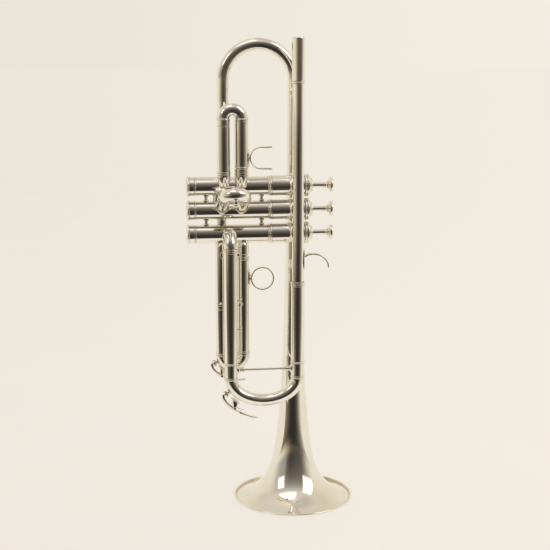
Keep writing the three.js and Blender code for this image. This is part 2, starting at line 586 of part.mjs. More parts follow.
const TUNING_KEY = { nipple: [-70.0, 124.1], normal: [-0.82, -0.57], pivot: [-64.2, 107.6] };
const THIRD_KEY = { nipple: [-79.4, 151.1], normal: [-0.926, -0.377], pivot: [-75.2, 136.9] };

function tuningWaterKey() {
  const { nipple, normal, pivot } = TUNING_KEY;
  const room = pipe(tuningStations(12), { out: CROOK_R + GAP, bore: 0 });
  const lever = [[-74.4, 122.4], [-75.4, 118.3], [-72.8, 112], [-68, 108.6], [-64.2, 107.3], [-59.5, 104.2],
    [-54, 101.4], [-47.5, 99.4], [-41.7, 98.6]];
  waterKey('tuning_key', LEAD_Y, nipple, normal, pivot, lever);
  keySaddle('tuning_key', LEAD_Y, pivot, [[-67.2, 119.4], [-59.8, 113.6], [-57.6, 117.6], [-64.5, 123.4]], room);
}

function thirdWaterKey() {
  const { nipple, normal, pivot } = THIRD_KEY;
  const room = pipe(thirdStations(8), { out: SLIM_SLEEVE.out + GAP, bore: 0 });
  const lever = [[-84.7, 150.4], [-84.6, 146.4], [-82.2, 141.8], [-78.6, 138.4], [-75.2, 136.6], [-71, 134.4],
    [-66, 132.8], [-59, 132.0], [-51.2, 132.6]];
  waterKey('third_key', THIRD.y, nipple, normal, pivot, lever);
  keySaddle('third_key', THIRD.y, pivot, [[-78.2, 147.8], [-71.4, 142.4], [-68.8, 146], [-75.6, 151.2]], room);
}

// ---------- finger hook and braces ----------
function fingerHook() {
  const line = [[5.4, 258.6], [8.2, 260.4], [12, 261.3], [17, 261.2], [22, 259.4], [26, 256.2], [28.6, 251.8],
    [29.5, 246.8]];
  const hook = strip(line, 1.5, LEAD_Y, 7.4);
  const foot = plate([[3, 244], [5.6, 244], [6.4, 250], [7.2, 258], [7.0, 262], [5.9, 267.6], [3, 267.6]], LEAD_Y, 6);
  const room = rod(6.0 + GAP, vec(LEAD_X, LEAD_Y, 234), vec(LEAD_X, LEAD_Y, 300), TUBE);
  add('finger_hook', cut(joined(hook, foot), room));
}

function bellBrace(name, z) {
  const leadRoom = rod(6.0 + GAP, vec(LEAD_X, LEAD_Y, z - 20), vec(LEAD_X, LEAD_Y, z + 20), TUBE);
  const bellRoom = rod(bellRadius(z - 7) + 2 * GAP, vec(0, 0, z - 20), vec(0, 0, z + 20), TUBE);
  const [start, end] = [LEAD_Y + 4, -3];
  const length = end - start;
  const profile = [[0, 0], [4.6, 0], [4.6, 2.9], [2.4, 4.2], [1.7, 5.4], [1.7, length - 8.8], [2.4, length - 7.4],
    [4.6, length - 6.2], [4.6, length], [0, length]];
  add(name, cut(turned(profile, vec(-0.45, start, z), AWAY, 12), leadRoom, bellRoom));
}

// ---------- assembly ----------
bell();
bellBow();
leadpipe();
tuningSleeves();
for (const index of [0, 1, 2]) {
  valveCasing(index);
  bottomCap(index);
  topCap(index);
  piston(index);
  valveGuide(index);
  valveSpring(index);
  fingerButton(index);
}
valveLink('valve_link_1_2', -78, 0, 1);
valveLink('valve_link_2_3', -74, 1, 2);
for (const [name, x] of [['bottom', -89.3], ['top', -34.6]]) {
  casingPost(`casing_post_${name}_1_2`, x, 0, 1);
  casingPost(`casing_post_${name}_2_3`, x, 1, 2);
}
firstSlide();
thumbSaddle();
secondSlide();
thirdSlide(keySpout(THIRD.y, THIRD_KEY.nipple, THIRD_KEY.normal));
stopRod();
fingerRing();
tuningSlide(keySpout(LEAD_Y, TUNING_KEY.nipple, TUNING_KEY.normal));
tuningWaterKey();
thirdWaterKey();
fingerHook();
bellBrace('upper_bell_brace', 418);
bellBrace('lower_bell_brace', 247);

const bounds = new THREE.Box3().setFromObject(group);
const centre = bounds.getCenter(vec(0, 0, 0));
group.position.set(-centre.x, -centre.y, -bounds.min.z);

export default group;
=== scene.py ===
import json
import math

import bpy
import numpy as np
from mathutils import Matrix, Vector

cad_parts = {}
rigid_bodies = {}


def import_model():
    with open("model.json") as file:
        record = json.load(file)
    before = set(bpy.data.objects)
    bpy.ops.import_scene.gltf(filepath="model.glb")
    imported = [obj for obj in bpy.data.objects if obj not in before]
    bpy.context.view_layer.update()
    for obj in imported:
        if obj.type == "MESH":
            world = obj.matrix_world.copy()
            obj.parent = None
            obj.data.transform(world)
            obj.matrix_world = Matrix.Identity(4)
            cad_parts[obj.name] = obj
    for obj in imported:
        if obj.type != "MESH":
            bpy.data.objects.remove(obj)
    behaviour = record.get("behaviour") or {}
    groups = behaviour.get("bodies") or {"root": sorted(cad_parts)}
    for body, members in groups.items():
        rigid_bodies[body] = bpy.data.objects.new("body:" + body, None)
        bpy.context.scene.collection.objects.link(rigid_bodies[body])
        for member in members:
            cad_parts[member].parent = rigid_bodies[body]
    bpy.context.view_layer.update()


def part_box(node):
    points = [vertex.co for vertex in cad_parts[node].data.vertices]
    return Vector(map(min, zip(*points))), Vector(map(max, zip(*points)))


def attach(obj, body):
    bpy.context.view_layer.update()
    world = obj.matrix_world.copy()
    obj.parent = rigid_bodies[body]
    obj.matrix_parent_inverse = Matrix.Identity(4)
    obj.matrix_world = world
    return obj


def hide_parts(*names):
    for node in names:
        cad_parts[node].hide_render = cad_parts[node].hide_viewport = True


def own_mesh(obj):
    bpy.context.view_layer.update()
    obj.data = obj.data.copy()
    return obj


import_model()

# ---------- where things are ----------
# Lengths are millimetres from the bell axis and the rim plane, turned to metres in to_frame.
rim_low, rim_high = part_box("bell")
BELL_FOOT = np.array([(rim_low.x + rim_high.x) / 2, (rim_low.y + rim_high.y) / 2, rim_low.z])
UP = np.array([0.0, 0.0, 1.0])
RIGHT = np.array([1.0, 0.0, 0.0])
AWAY = np.array([0.0, 1.0, 0.0])

# Main and first slide tubing: outer sleeve, inner leg and crook, then the same of the slimmer tubing.
SLEEVE_R, SLEEVE_BORE = 6.65, 6.3
LEG_R, LEG_BORE = 5.95, 5.5
CROOK_R = 6.25
SLIM_SLEEVE_R, SLIM_SLEEVE_BORE = 6.1, 5.75
SLIM_LEG_R, SLIM_BORE = 5.4, 4.95

STEM_R = 6.2
BOW_R = 35.2
BOW_Z = 428.9
# The leadpipe's line, and the lower leg of the main tuning slide beside it.
LEAD_X, LEAD_Y, LOW_X = -0.9, -37.0, -67.3
# The axes of the first, second and third valve run along X.
VALVE_Y = -18.5
VALVE_Z = [327.4, 303.9, 280.4]
CASING_R = 9.25
SEAT_R = CASING_R - 0.15
PISTON_R = 8.3


def to_frame(points):
    """Metres in the frame, from millimetres at the bell."""
    return np.asarray(points, float) * 0.001 + BELL_FOOT


def vec(x, y, z):
    return np.array([x, y, z], float)


def unit(v):
    return np.asarray(v, float) / np.linalg.norm(v)


# ---------- shader nodes ----------
class Value:
    """A shader socket that can be used in arithmetic."""

    def __init__(self, shop, socket):
        self.shop = shop
        self.socket = socket

    def math(self, operation, *others):
        inputs = dict(enumerate(others))
        return self.shop.node("ShaderNodeMath", {"operation": operation}, inputs)

    def __add__(self, other):
        return self.math("ADD", self, other)

    def __radd__(self, other):
        return self.math("ADD", other, self)

    def __sub__(self, other):
        return self.math("SUBTRACT", self, other)

    def __rsub__(self, other):
        return self.math("SUBTRACT", other, self)

    def __mul__(self, other):
        return self.math("MULTIPLY", self, other)

    def __rmul__(self, other):
        return self.math("MULTIPLY", other, self)

    def __truediv__(self, other):
        return self.math("DIVIDE", self, other)

    def __rtruediv__(self, other):
        return self.math("DIVIDE", other, self)

    def __pow__(self, other):
        return self.math("POWER", self, other)

    def held(self):
        """Held between 0 and 1."""
        return self.math("MINIMUM", self.math("MAXIMUM", self, 0.0), 1.0)

    def between(self, low, high):
        """0 at low, 1 at high, smooth in between."""
        settings = {"interpolation_type": "SMOOTHSTEP"}
        inputs = {"Value": self, "From Min": low, "From Max": high}
        return self.shop.node("ShaderNodeMapRange", settings, inputs)


class Finish:
    """A material, or the studio around it, and the few calls that wire its nodes."""

    def __init__(self, name, owner=None):
        self.material = owner or bpy.data.materials.new(name)
        self.material.use_nodes = True
        self.tree = self.material.node_tree
        self.tree.nodes.clear()

    def node(self, kind, settings=None, inputs=None, output=0):
        made = self.tree.nodes.new(kind)
        for key, setting in (settings or {}).items():
            if key == "stops":
                ramp = made.color_ramp
                while len(ramp.elements) < len(setting):
                    ramp.elements.new(0.5)
                for element, (place, colour) in zip(ramp.elements, setting):
                    element.position = place
                    element.color = colour
            else:
                setattr(made, key, setting)
        for key, given in (inputs or {}).items():
            if isinstance(given, Value):
                self.tree.links.new(given.socket, made.inputs[key])
            else:
                made.inputs[key].default_value = given
        return Value(self, made.outputs[output]) if len(made.outputs) else None

    def coordinates(self, scale=None):
        plain = self.node("ShaderNodeTexCoord", output="Object")
        if scale is None:
            return plain
        return self.node("ShaderNodeMapping", {}, {"Vector": plain, "Scale": scale})

    def noise(self, size, detail=4.0, rough=0.5, where=None):
        """Noise whose lumps are about `size` millimetres across."""
        inputs = {"Vector": where or self.coordinates(), "Scale": 1000.0 / size, "Detail": detail,
                  "Roughness": rough}
        return self.node("ShaderNodeTexNoise", {}, inputs)

    def mix(self, factor, first, second):
        settings = {"data_type": "RGBA", "blend_type": "MIX"}
        return self.node("ShaderNodeMix", settings, {0: factor, 6: first, 7: second}, output=2)

    def bump(self, height, depth, under=None):
        """Height in shares of `depth` millimetres."""
        inputs = {"Height": height, "Strength": 1.0, "Distance": depth * 0.001}
        if under is not None:
            inputs["Normal"] = under
        return self.node("ShaderNodeBump", {}, inputs)

    def nook(self):
        """1 in the inner corners of a piece, 0 on its open faces: where grime and painted shade go."""
        settings = {"attribute_type": "GEOMETRY", "attribute_name": "nook"}
        return self.node("ShaderNodeAttribute", settings, output="Fac")

    def end(self, surface):
        self.node("ShaderNodeOutputMaterial", {}, {"Surface": surface})
        return self.material


BRIGHT = (0.945, 0.925, 0.865, 1)
WARM = (0.905, 0.855, 0.73, 1)
BLOOM = (0.86, 0.83, 0.79, 1)
GRIME_AND_SHADE = (0.56, 0.43, 0.24, 1)
BRASS = (0.88, 0.66, 0.36, 1)


def plated(name, lathe_axis=None, handled=0.0, base_rough=0.045):
    """Silver plate: warm bloom, faint smears and scratches, grime and painted shade in the corners, wear by
    handling.
    """
    look = Finish(name)
    broad = look.noise(38, 3)
    patches = look.noise(9, 5, 0.6)
    fine = look.noise(0.9, 3)
    nook = look.nook()
    tint = (broad * 0.6 + patches * 0.4).between(0.42, 0.62)
    colour = look.mix(tint * 0.55, BRIGHT, WARM)
    spots = look.noise(5.5, 2, 0.7).between(0.64, 0.76)
    colour = look.mix(spots * 0.35, colour, BLOOM)
    # Painted shade: inner corners are darkened and browned, standing for both grime and the shade that falls
    # there.
    grime_and_shade = (nook * (0.25 + patches * 0.8)).held()
    colour = look.mix(grime_and_shade * 0.7, colour, GRIME_AND_SHADE)
    rough = base_rough + patches.between(0.45, 0.75) * 0.05 + grime_and_shade * 0.22
    if handled > 0:
        worn = (patches * 0.55 + look.noise(2.6, 4, 0.65) * 0.45).between(0.5, 0.66)
        colour = look.mix(worn * handled, colour, BRASS)
        rough = rough + worn * handled * 0.16
    along = look.coordinates(scale=(0.12, 1.0, 1.0))
    scratches = look.noise(0.5, 2, 0.6, along).between(0.66, 0.72)
    rough = (rough + scratches * 0.05).held()
    relief = look.bump(broad, 0.07)
    relief = look.bump(fine, 0.0004, relief)
    if lathe_axis is not None:
        stretch = [0.02, 0.02, 0.02]
        stretch[lathe_axis] = 1.0
        marks = look.noise(0.35, 2, 0.6, look.coordinates(scale=stretch))
        relief = look.bump(marks, 0.0012, relief)
    inputs = {"Base Color": colour, "Metallic": 1.0, "Roughness": rough, "Normal": relief}
    return look.end(look.node("ShaderNodeBsdfPrincipled", {}, inputs))


def spring_wire(name):
    look = Finish(name)
    patches = look.noise(1.6, 4, 0.6)
    colour = look.mix(patches.between(0.4, 0.7), (0.56, 0.54, 0.50, 1), (0.34, 0.27, 0.19, 1))
    rough = 0.24 + patches * 0.22
    relief = look.bump(look.noise(0.2, 3), 0.004)
    inputs = {"Base Color": colour, "Metallic": 1.0, "Roughness": rough, "Normal": relief}
    return look.end(look.node("ShaderNodeBsdfPrincipled", {}, inputs))


def cork_finish(name):
    look = Finish(name)
    grain = look.noise(0.8, 5, 0.7)
    settings = {"feature": "F1"}
    cells = look.node("ShaderNodeTexVoronoi", settings, {"Vector": look.coordinates(), "Scale": 1100.0})
    pits = look.noise(0.5, 2).between(0.58, 0.7)
    colour = look.mix(grain.between(0.35, 0.65), (0.42, 0.25, 0.12, 1), (0.60, 0.40, 0.22, 1))
    colour = look.mix(pits * 0.8, colour, (0.15, 0.08, 0.04, 1))
    relief = look.bump(grain - pits * 0.6 + cells * 0.3, 0.15)
    inputs = {"Base Color": colour, "Roughness": 0.78 + grain * 0.15, "Normal": relief}
    return look.end(look.node("ShaderNodeBsdfPrincipled", {}, inputs))


PLATE = plated("silver_plate")
SPUN = plated("silver_plate_spun", lathe_axis=2)
TURNED = plated("silver_plate_turned", lathe_axis=0)
HANDLED = plated("silver_plate_handled", handled=0.5, base_rough=0.07)
WIRE = spring_wire("spring_steel")
CORK = cork_finish("cork")


# ---------- centre lines ----------
def arc(centre, first, second, sweep=math.pi / 2, count=24):
    """Points about `centre` from the end of `first` towards the end of `second`."""
    angles = [sweep * k / (count - 1) for k in range(count)]
    return [centre + first * math.cos(a) + second * math.sin(a) for a in angles]


def through(points, count=12):
    """A smooth curve through the given points."""
    points = [np.asarray(p, float) for p in points]
    padded = [2 * points[0] - points[1]] + points + [2 * points[-1] - points[-2]]
    curve = []
    for k in range(len(points) - 1):
        a, b, c, d = padded[k:k + 4]
        for step in range(count):
            t = step / count
            curve.append(0.5 * (2 * b + (c - a) * t + (2 * a - 5 * b + 4 * c - d) * t ** 2
                                + (3 * b - a - 3 * c + d) * t ** 3))
    return curve + [points[-1]]


class Route:
    """A centre line through close points, with a frame carried along it without twist."""

    def __init__(self, points, side=None):
        kept = [np.asarray(points[0], float)]
        for point in points[1:]:
            if np.linalg.norm(point - kept[-1]) > 1e-4:
                kept.append(np.asarray(point, float))
        self.points = np.array(kept)
        steps = np.linalg.norm(np.diff(self.points, axis=0), axis=1)
        self.along = np.concatenate([[0.0], np.cumsum(steps)])
        self.length = self.along[-1]
        self.ways = np.gradient(self.points, self.along, axis=0)
        self.ways /= np.linalg.norm(self.ways, axis=1)[:, None]
        if side is None:
            side = AWAY if abs(self.ways[0][1]) < 0.9 else RIGHT
        sides = []
        for way in self.ways:
            side = unit(side - way * np.dot(side, way))
            sides.append(side)
        self.sides = np.array(sides)

    def place(self, s):
        """The point at length s, the way on, and the two directions across it."""
        inside = min(max(s, 0.0), self.length)
        read = [np.interp(inside, self.along, column) for column in self.points.T]
        way = unit([np.interp(inside, self.along, column) for column in self.ways.T])
        side = np.array([np.interp(inside, self.along, column) for column in self.sides.T])
        side = unit(side - way * np.dot(side, way))
        return np.array(read) + way * (s - inside), way, side, np.cross(way, side)


def straight(start, direction):
    return Route([start, start + unit(direction)])


def upright(x, y):
    """A line along Z, on which lengths are heights over the rim."""
    return straight(vec(x, y, 0), UP)


# ---------- profiles ----------
def eased(corners, soft, step=None):
    """Rounds the corners of a profile of (place along, radius) and marks its inner corners.

    A third number sets one corner's own rounding. `step` is the longest face on a curved run.
    Gives rows of (place along, radius, nook)."""
    corners = [tuple(c) + (soft,) * (3 - len(c)) for c in corners]
    count = len(corners)
    ring = not (corners[0][1] == 0 and corners[-1][1] == 0)
    flat = np.array([c[:2] for c in corners], float)
    after = np.roll(flat, -1, axis=0)
    area = np.sum(flat[:, 0] * after[:, 1] - after[:, 0] * flat[:, 1])
    if area > 0:
        corners = corners[::-1]
        flat = flat[::-1]
    runs = []
    for k in range(count):
        here = flat[k]
        if not ring and k in (0, count - 1):
            runs.append([(here, 0.0)])
            continue
        back = flat[k - 1] - here
        on = flat[(k + 1) % count] - here
        back_length, on_length = np.linalg.norm(back), np.linalg.norm(on)
        back, on = back / back_length, on / on_length
        turn = -back[0] * on[1] + back[1] * on[0]
        if corners[k][2] == 0 or (abs(turn) < 0.2 and np.dot(back, on) < 0):
            runs.append([(here, 0.0)])
            continue
        cut = min(corners[k][2], 0.45 * back_length, 0.45 * on_length)
        nook = 1.0 if turn > 0 else 0.0
        bend = []
        for t in (0.0, 0.25, 0.5, 0.75, 1.0):
            offset = back * cut * (1 - t) ** 2 + on * cut * t ** 2
            bend.append((here + offset, nook))
        runs.append(bend)
    rows = []
    for k in range(count if ring else count - 1):
        rows += runs[k]
        (start, first), (end, last) = runs[k][-1], runs[(k + 1) % count][0]
        rows += along_edge(start, end, first, last, step)
    if not ring:
        rows += runs[-1]
    return [(p[0], max(p[1], 0.0), nook) for p, nook in rows]


def mirrored(half, span):
    """A profile that runs the same from both of its ends."""
    return half + [(span - s, radius) for s, radius in half[::-1]]


def bare_end(profile, last, end):
    """Leaves nothing between `last` and `end`, so that the end can be cut to a casing's wall."""
    return [row for row in profile if row[0] <= last or row[0] == end]


def along_edge(start, end, first, last, step):
    """Points on a straight edge of a profile: supports at its ends and shorter faces if asked."""
    length = np.linalg.norm(end - start)
    near = [(0.2, 0.55 * first)] if length > 0.7 else []
    near += [(0.9, 0.0)] if length > 2.5 and first else []
    far = [(length - 0.2, 0.55 * last)] if length > 0.7 else []
    far = ([(length - 0.9, 0.0)] if length > 2.5 and last else []) + far
    middle = []
    if step and length > step:
        low = near[-1][0] if near else 0.0
        high = far[0][0] if far else length
        pieces = int(math.ceil((high - low) / step))
        middle = [(low + (high - low) * k / pieces, 0.0) for k in range(1, pieces)]
    return [(start + (end - start) * d / length, nook) for d, nook in near + middle + far]


# ---------- meshes ----------
BAR_SIDES = 32
FOOT_SIDES = 48
FOOT_TOP = [(0.25, 1.0), (0.5, 1.0), (0.75, 0.97), (0.9, 0.88), (0.96, 0.72), (0.99, 0.45), (1.0, 0.1)]
FOOT_SUNK = 0.2


def round_the_axis(sides):
    return np.linspace(0, 2 * math.pi, sides, endpoint=False)


class Shape:
    """Skins of one piece, in millimetres from the bell axis and the rim plane."""

    def __init__(self):
        self.points = []
        self.faces = []
        self.nooks = []
        self.count = 0

    def skin(self, rows, nooks=None, ring=True):
        """Joins rings of points into one closed skin, faces outwards; a single point is a pole."""
        rows = [np.atleast_2d(row) for row in rows]
        nooks = nooks or [0.0] * len(rows)
        firsts = np.cumsum([0] + [len(row) for row in rows])
        pairs = [(k, k + 1) for k in range(len(rows) - 1)]
        pairs += [(len(rows) - 1, 0)] if ring else []
        faces = []
        for a, b in pairs:
            sizes = len(rows[a]), len(rows[b])
            around = np.arange(max(sizes))
            onward = (around + 1) % max(sizes)
            if sizes[0] == sizes[1] == 1:
                continue
            if sizes[0] == 1:
                sides = [around * 0 + firsts[a], firsts[b] + onward, firsts[b] + around]
            elif sizes[1] == 1:
                sides = [firsts[a] + around, firsts[a] + onward, around * 0 + firsts[b]]
            else:
                sides = [firsts[a] + around, firsts[a] + onward, firsts[b] + onward, firsts[b] + around]
            faces += np.stack(sides, 1).tolist()
        points = np.concatenate(rows)
        corners = [face[:3] for face in faces] + [[f[0], f[2], f[3]] for f in faces if len(f) == 4]
        corners = np.array(corners)
        a, b, c = (points[corners[:, k]] for k in range(3))
        if np.sum(a * np.cross(b, c)) < 0:
            faces = [face[::-1] for face in faces]
        self.faces += [[k + self.count for k in face] for face in faces]
        self.points.append(points)
        self.nooks += [nook for row, nook in zip(rows, nooks) for _ in row]
        self.count += len(points)
        return self

    def swept(self, profile, route, sides=64, seats=()):
        """A profile carried round a centre line. `seats` are casings its ends are cut to fit."""
        turns = round_the_axis(sides)
        rows = []
        for s, radius, _ in profile:
            point, way, side, over = route.place(s)
            if radius < 1e-6:
                rows.append(point)
                continue
            row = point + radius * (np.cos(turns)[:, None] * side + np.sin(turns)[:, None] * over)
            rows.append(seated(row, way, seats, s < route.length / 2))
        ring = not (profile[0][1] < 1e-6 and profile[-1][1] < 1e-6)
        return self.skin(rows, [nook for _, _, nook in profile], ring)

    def bar(self, route, sizes, power=4.5):
        """A bar of rounded section; sizes are (share of the way, width, thickness)."""
        turns = round_the_axis(BAR_SIDES)
        across = np.sign(np.cos(turns)) * np.abs(np.cos(turns)) ** (2 / power)
        over = np.sign(np.sin(turns)) * np.abs(np.sin(turns)) ** (2 / power)
        shares = [size[0] for size in sizes]
        last = route.length
        thick = sizes[0][2] / 2
        places = np.linspace(thick, last - thick, max(10, int(last / 0.7)))
        tip = [(thick * (1 - math.cos(a)), math.sin(a)) for a in np.linspace(0.25, math.pi / 2, 5)]
        rows = [route.place(0)[0]]
        stations = tip[:-1] + [(p, 1.0) for p in places] + [(last - d, k) for d, k in tip[:-1][::-1]]
        for s, keep in stations:
            point, _, side, up = route.place(s)
            share = s / last
            width = np.interp(share, shares, [size[1] for size in sizes]) / 2
            height = np.interp(share, shares, [size[2] for size in sizes]) / 2
            edge = width - thick * (1 - keep)
            rows.append(point + across[:, None] * side * edge + over[:, None] * up * height * keep)
        rows.append(route.place(last)[0])
        return self.skin(rows, ring=False)

    def slab(self, outline, y, half, edge):
        """A plate domed towards its edges, its outline in X and Z."""
        outline = softened(outline)
        middle = outline.mean(0)
        reach = np.linalg.norm(outline - middle, axis=1)[:, None]
        fall = min(edge, half * 0.9)
        near = [(half, edge), (half - fall * 0.3, edge * 0.35), (half - fall, 0)]
        rows = [vec(middle[0], y + half, middle[1])]
        for depth, inset in near + [(-depth, inset) for depth, inset in near[::-1]]:
            ring = middle + (outline - middle) * (1 - inset / reach)
            rows.append(np.column_stack([ring[:, 0], np.full(len(ring), y + depth), ring[:, 1]]))
        rows.append(vec(middle[0], y - half, middle[1]))
        return self.skin(rows, ring=False)

    def flange(self, centre, axis, facing, radius, half_length, half_angle, height, power=1.0):
        """A leaf-shaped foot soldered round a tube of the given radius."""
        axis, facing = unit(axis), unit(facing)
        side = np.cross(axis, facing)
        turns = round_the_axis(FOOT_SIDES)

        def row(share, rise):
            reach = half_length * share * np.sign(np.cos(turns)) * np.abs(np.cos(turns)) ** power
            angle = half_angle * share * np.sign(np.sin(turns)) * np.abs(np.sin(turns)) ** power
            spoke = np.cos(angle)[:, None] * facing + np.sin(angle)[:, None] * side
            return centre + reach[:, None] * axis + (radius + rise) * spoke

        rows = [centre + (radius + height) * facing]
        rows += [row(share, height * rise) for share, rise in FOOT_TOP]
        rows += [row(share, -FOOT_SUNK) for share in (1.0, 0.6, 0.2)]
        rows.append(centre + (radius - FOOT_SUNK) * facing)
        nooks = [0.0] * len(rows)
        edge = len(FOOT_TOP)
        # The foot's edge against the tube carries grime and painted shade.
        nooks[edge] = nooks[edge + 1] = 0.8
        return self.skin(rows, nooks, ring=False)


def seated(row, way, seats, onward):
    """Slides the points of a tube's end along the tube until they lie on a casing's wall.

    Of two walls equally near, the one onward is taken where `onward` is true."""
    for index, radius in seats:
        axis = np.array([VALVE_Y, VALVE_Z[index]])
        flat = row[:, 1:] - axis
        run = way[1:]
        a = float(np.dot(run, run))
        if a < 0.2:
            continue
        b = 2 * flat @ run
        c = np.sum(flat ** 2, axis=1) - radius ** 2
        root = np.sqrt(np.maximum(b ** 2 - 4 * a * c, 0))
        near, far = (-b - root) / (2 * a), (-b + root) / (2 * a)
        even = np.abs(np.abs(near) - np.abs(far)) < 0.01
        shift = np.where(np.abs(near) < np.abs(far), near, far)
        shift = np.where(even, far if onward else near, shift)
        if np.all(c < 0):
            row = row + shift[:, None] * way
    return row


def softened(outline):
    """Cuts the corners of an outline twice, which leaves them nearly round."""
    outline = np.asarray(outline, float)
    for _ in range(2):
        onward = np.roll(outline, -1, axis=0)
        outline = np.stack([outline * 0.8 + onward * 0.2, outline * 0.2 + onward * 0.8], 1).reshape(-1, 2)
    return outline


def piece(name, shape, body, nodes=(), finish=PLATE):
    """Makes the mesh, gives it its finish, ties it to its body and hides the nodes it stands for."""
    mesh = bpy.data.meshes.new(name)
    mesh.from_pydata(to_frame(np.concatenate(shape.points)).tolist(), [], shape.faces)
    nook = mesh.attributes.new("nook", "FLOAT", "POINT")
    nook.data.foreach_set("value", shape.nooks)
    mesh.shade_smooth()
    mesh.materials.append(finish)
    return tied(added(name, mesh), body, nodes)


def fine(name, shape, body="trumpet_body", finish=PLATE):
    """Makes the piece that stands for the one node of its name."""
    return piece(name + "_fine", shape, body, [name], finish)


def added(name, data):
    made = bpy.data.objects.new(name, data)
    bpy.context.scene.collection.objects.link(made)
    return made


def tied(made, body, nodes):
    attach(made, body)
    if nodes:
        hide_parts(*nodes)
    return made


# ---------- repeating pieces, by geometry nodes ----------
class Tree:
    """A geometry node group with named inputs."""

    def __init__(self, name, inputs):
        self.group = bpy.data.node_groups.new(name, "GeometryNodeTree")
        self.ids = {}
        for label, kind in inputs:
            socket = self.group.interface.new_socket(label, in_out="INPUT", socket_type=kind)
            self.ids[label] = socket.identifier
        self.group.interface.new_socket("Geometry", in_out="OUTPUT", socket_type="NodeSocketGeometry")
        self.given = self.group.nodes.new("NodeGroupInput")

    def node(self, kind, settings=None, inputs=None):
        made = self.group.nodes.new(kind)
        for key, setting in (settings or {}).items():
            setattr(made, key, setting)
        for key, value in (inputs or {}).items():
            if isinstance(value, bpy.types.NodeSocket):
                self.group.links.new(value, made.inputs[key])
            elif isinstance(value, str):
                self.group.links.new(self.given.outputs[value], made.inputs[key])
            else:
                made.inputs[key].default_value = value
        return made.outputs

    def close(self, geometry):
        smooth = self.node("GeometryNodeSetShadeSmooth", {}, {0: geometry})[0]
        real = self.node("GeometryNodeRealizeInstances", {}, {0: smooth})[0]
        last = self.node("GeometryNodeSetMaterial", {}, {"Geometry": real, "Material": "Finish"})[0]
        out = self.group.nodes.new("NodeGroupOutput")
        self.group.links.new(last, out.inputs[0])
        return self


def coil_tree():
    """A wire coil that stands on its start and rises along its own Z."""
    inputs = [("Turns", "NodeSocketFloat"), ("Radius", "NodeSocketFloat"), ("Length", "NodeSocketFloat"),
              ("Wire", "NodeSocketFloat"), ("Start", "NodeSocketVector"), ("Turned", "NodeSocketVector"),
              ("Finish", "NodeSocketMaterial")]
    tree = Tree("wire_coil", inputs)
    spiral = tree.node("GeometryNodeCurveSpiral", {}, {
        "Resolution": 28, "Rotations": "Turns", "Start Radius": "Radius", "End Radius": "Radius",
        "Height": "Length"})[0]
    circle = tree.node("GeometryNodeCurvePrimitiveCircle", {}, {"Resolution": 12, "Radius": "Wire"})[0]
    wire = tree.node("GeometryNodeCurveToMesh", {}, {
        "Curve": spiral, "Profile Curve": circle, "Fill Caps": True})[0]
    placed = tree.node("GeometryNodeTransform", {}, {
        "Geometry": wire, "Translation": "Start", "Rotation": "Turned"})[0]
    return tree.close(placed)


def knurl_tree():
    """Ridges set round a ring, as on a knurled nut."""
    inputs = [("Count", "NodeSocketInt"), ("Radius", "NodeSocketFloat"), ("Height", "NodeSocketFloat"),
              ("Ridge", "NodeSocketFloat"), ("Centre", "NodeSocketVector"), ("Turned", "NodeSocketVector"),
              ("Finish", "NodeSocketMaterial")]
    tree = Tree("knurled_ring", inputs)
    ring = tree.node("GeometryNodeMeshCircle", {}, {"Vertices": "Count", "Radius": "Radius"})[0]
    ridge = tree.node("GeometryNodeMeshCone", {}, {
        "Vertices": 6, "Side Segments": 3, "Radius Top": "Ridge", "Radius Bottom": "Ridge",
        "Depth": "Height"})[0]
    half = tree.node("ShaderNodeMath", {"operation": "MULTIPLY"}, {0: "Height", 1: -0.5})[0]
    down = tree.node("ShaderNodeCombineXYZ", {}, {"Z": half})[0]
    centred = tree.node("GeometryNodeTransform", {}, {"Geometry": ridge, "Translation": down})[0]
    spread = tree.node("GeometryNodeInstanceOnPoints", {}, {"Points": ring, "Instance": centred})[0]
    placed = tree.node("GeometryNodeTransform", {}, {
        "Geometry": spread, "Translation": "Centre", "Rotation": "Turned"})[0]
    return tree.close(placed)


def grown(name, tree, values, body, nodes=(), finish=PLATE):
    """Runs a tree once and keeps its result as a plain mesh."""
    seed = added(name + "_seed", bpy.data.meshes.new(name + "_seed"))
    modifier = seed.modifiers.new("grow", "NODES")
    modifier.node_group = tree.group
    for label, value in values.items():
        modifier[tree.ids[label]] = value
    modifier[tree.ids["Finish"]] = finish
    seen = seed.evaluated_get(bpy.context.evaluated_depsgraph_get())
    mesh = bpy.data.meshes.new_from_object(seen)
    mesh.name = name
    seed.modifiers.remove(modifier)
    bpy.data.objects.remove(seed)
    return tied(added(name, mesh), body, nodes)


COIL = coil_tree()
KNURL = knurl_tree()


# ---------- bell, bow and tail ----------
RIM_R = 61.75
BEAD_R = 1.2
BELL_WALL = 0.6
BOW_WALL = 0.55
TAIL_R = 5.95
STEM_START = 150
FLARE_TOP = 405
BELL_SIDES = 140


def flare_radius(z):
    return max(STEM_R, RIM_R * (9 / (z + 9)) ** 0.6)


def bell_route():
    """Up the bell, over the bow and down the tail into the first valve."""
    x = -2 * BOW_R
    over = arc(vec(-BOW_R, 0, BOW_Z), vec(BOW_R, 0, 0), vec(0, 0, BOW_R), math.pi, 180)
    drop = [[0, 402], [-1.2, 388], [-4.2, 372], [-8, 357], [-11.5, 344], [-14.5, 334], [-16.5, 327]]
    tail = through([vec(x, y, z) for y, z in drop], 20)
    return Route([vec(0, 0, 0), vec(0, 0, 200), vec(0, 0, 425)] + over + [vec(x, 0, 425), vec(x, 0, 405)]
                 + tail, side=RIGHT)


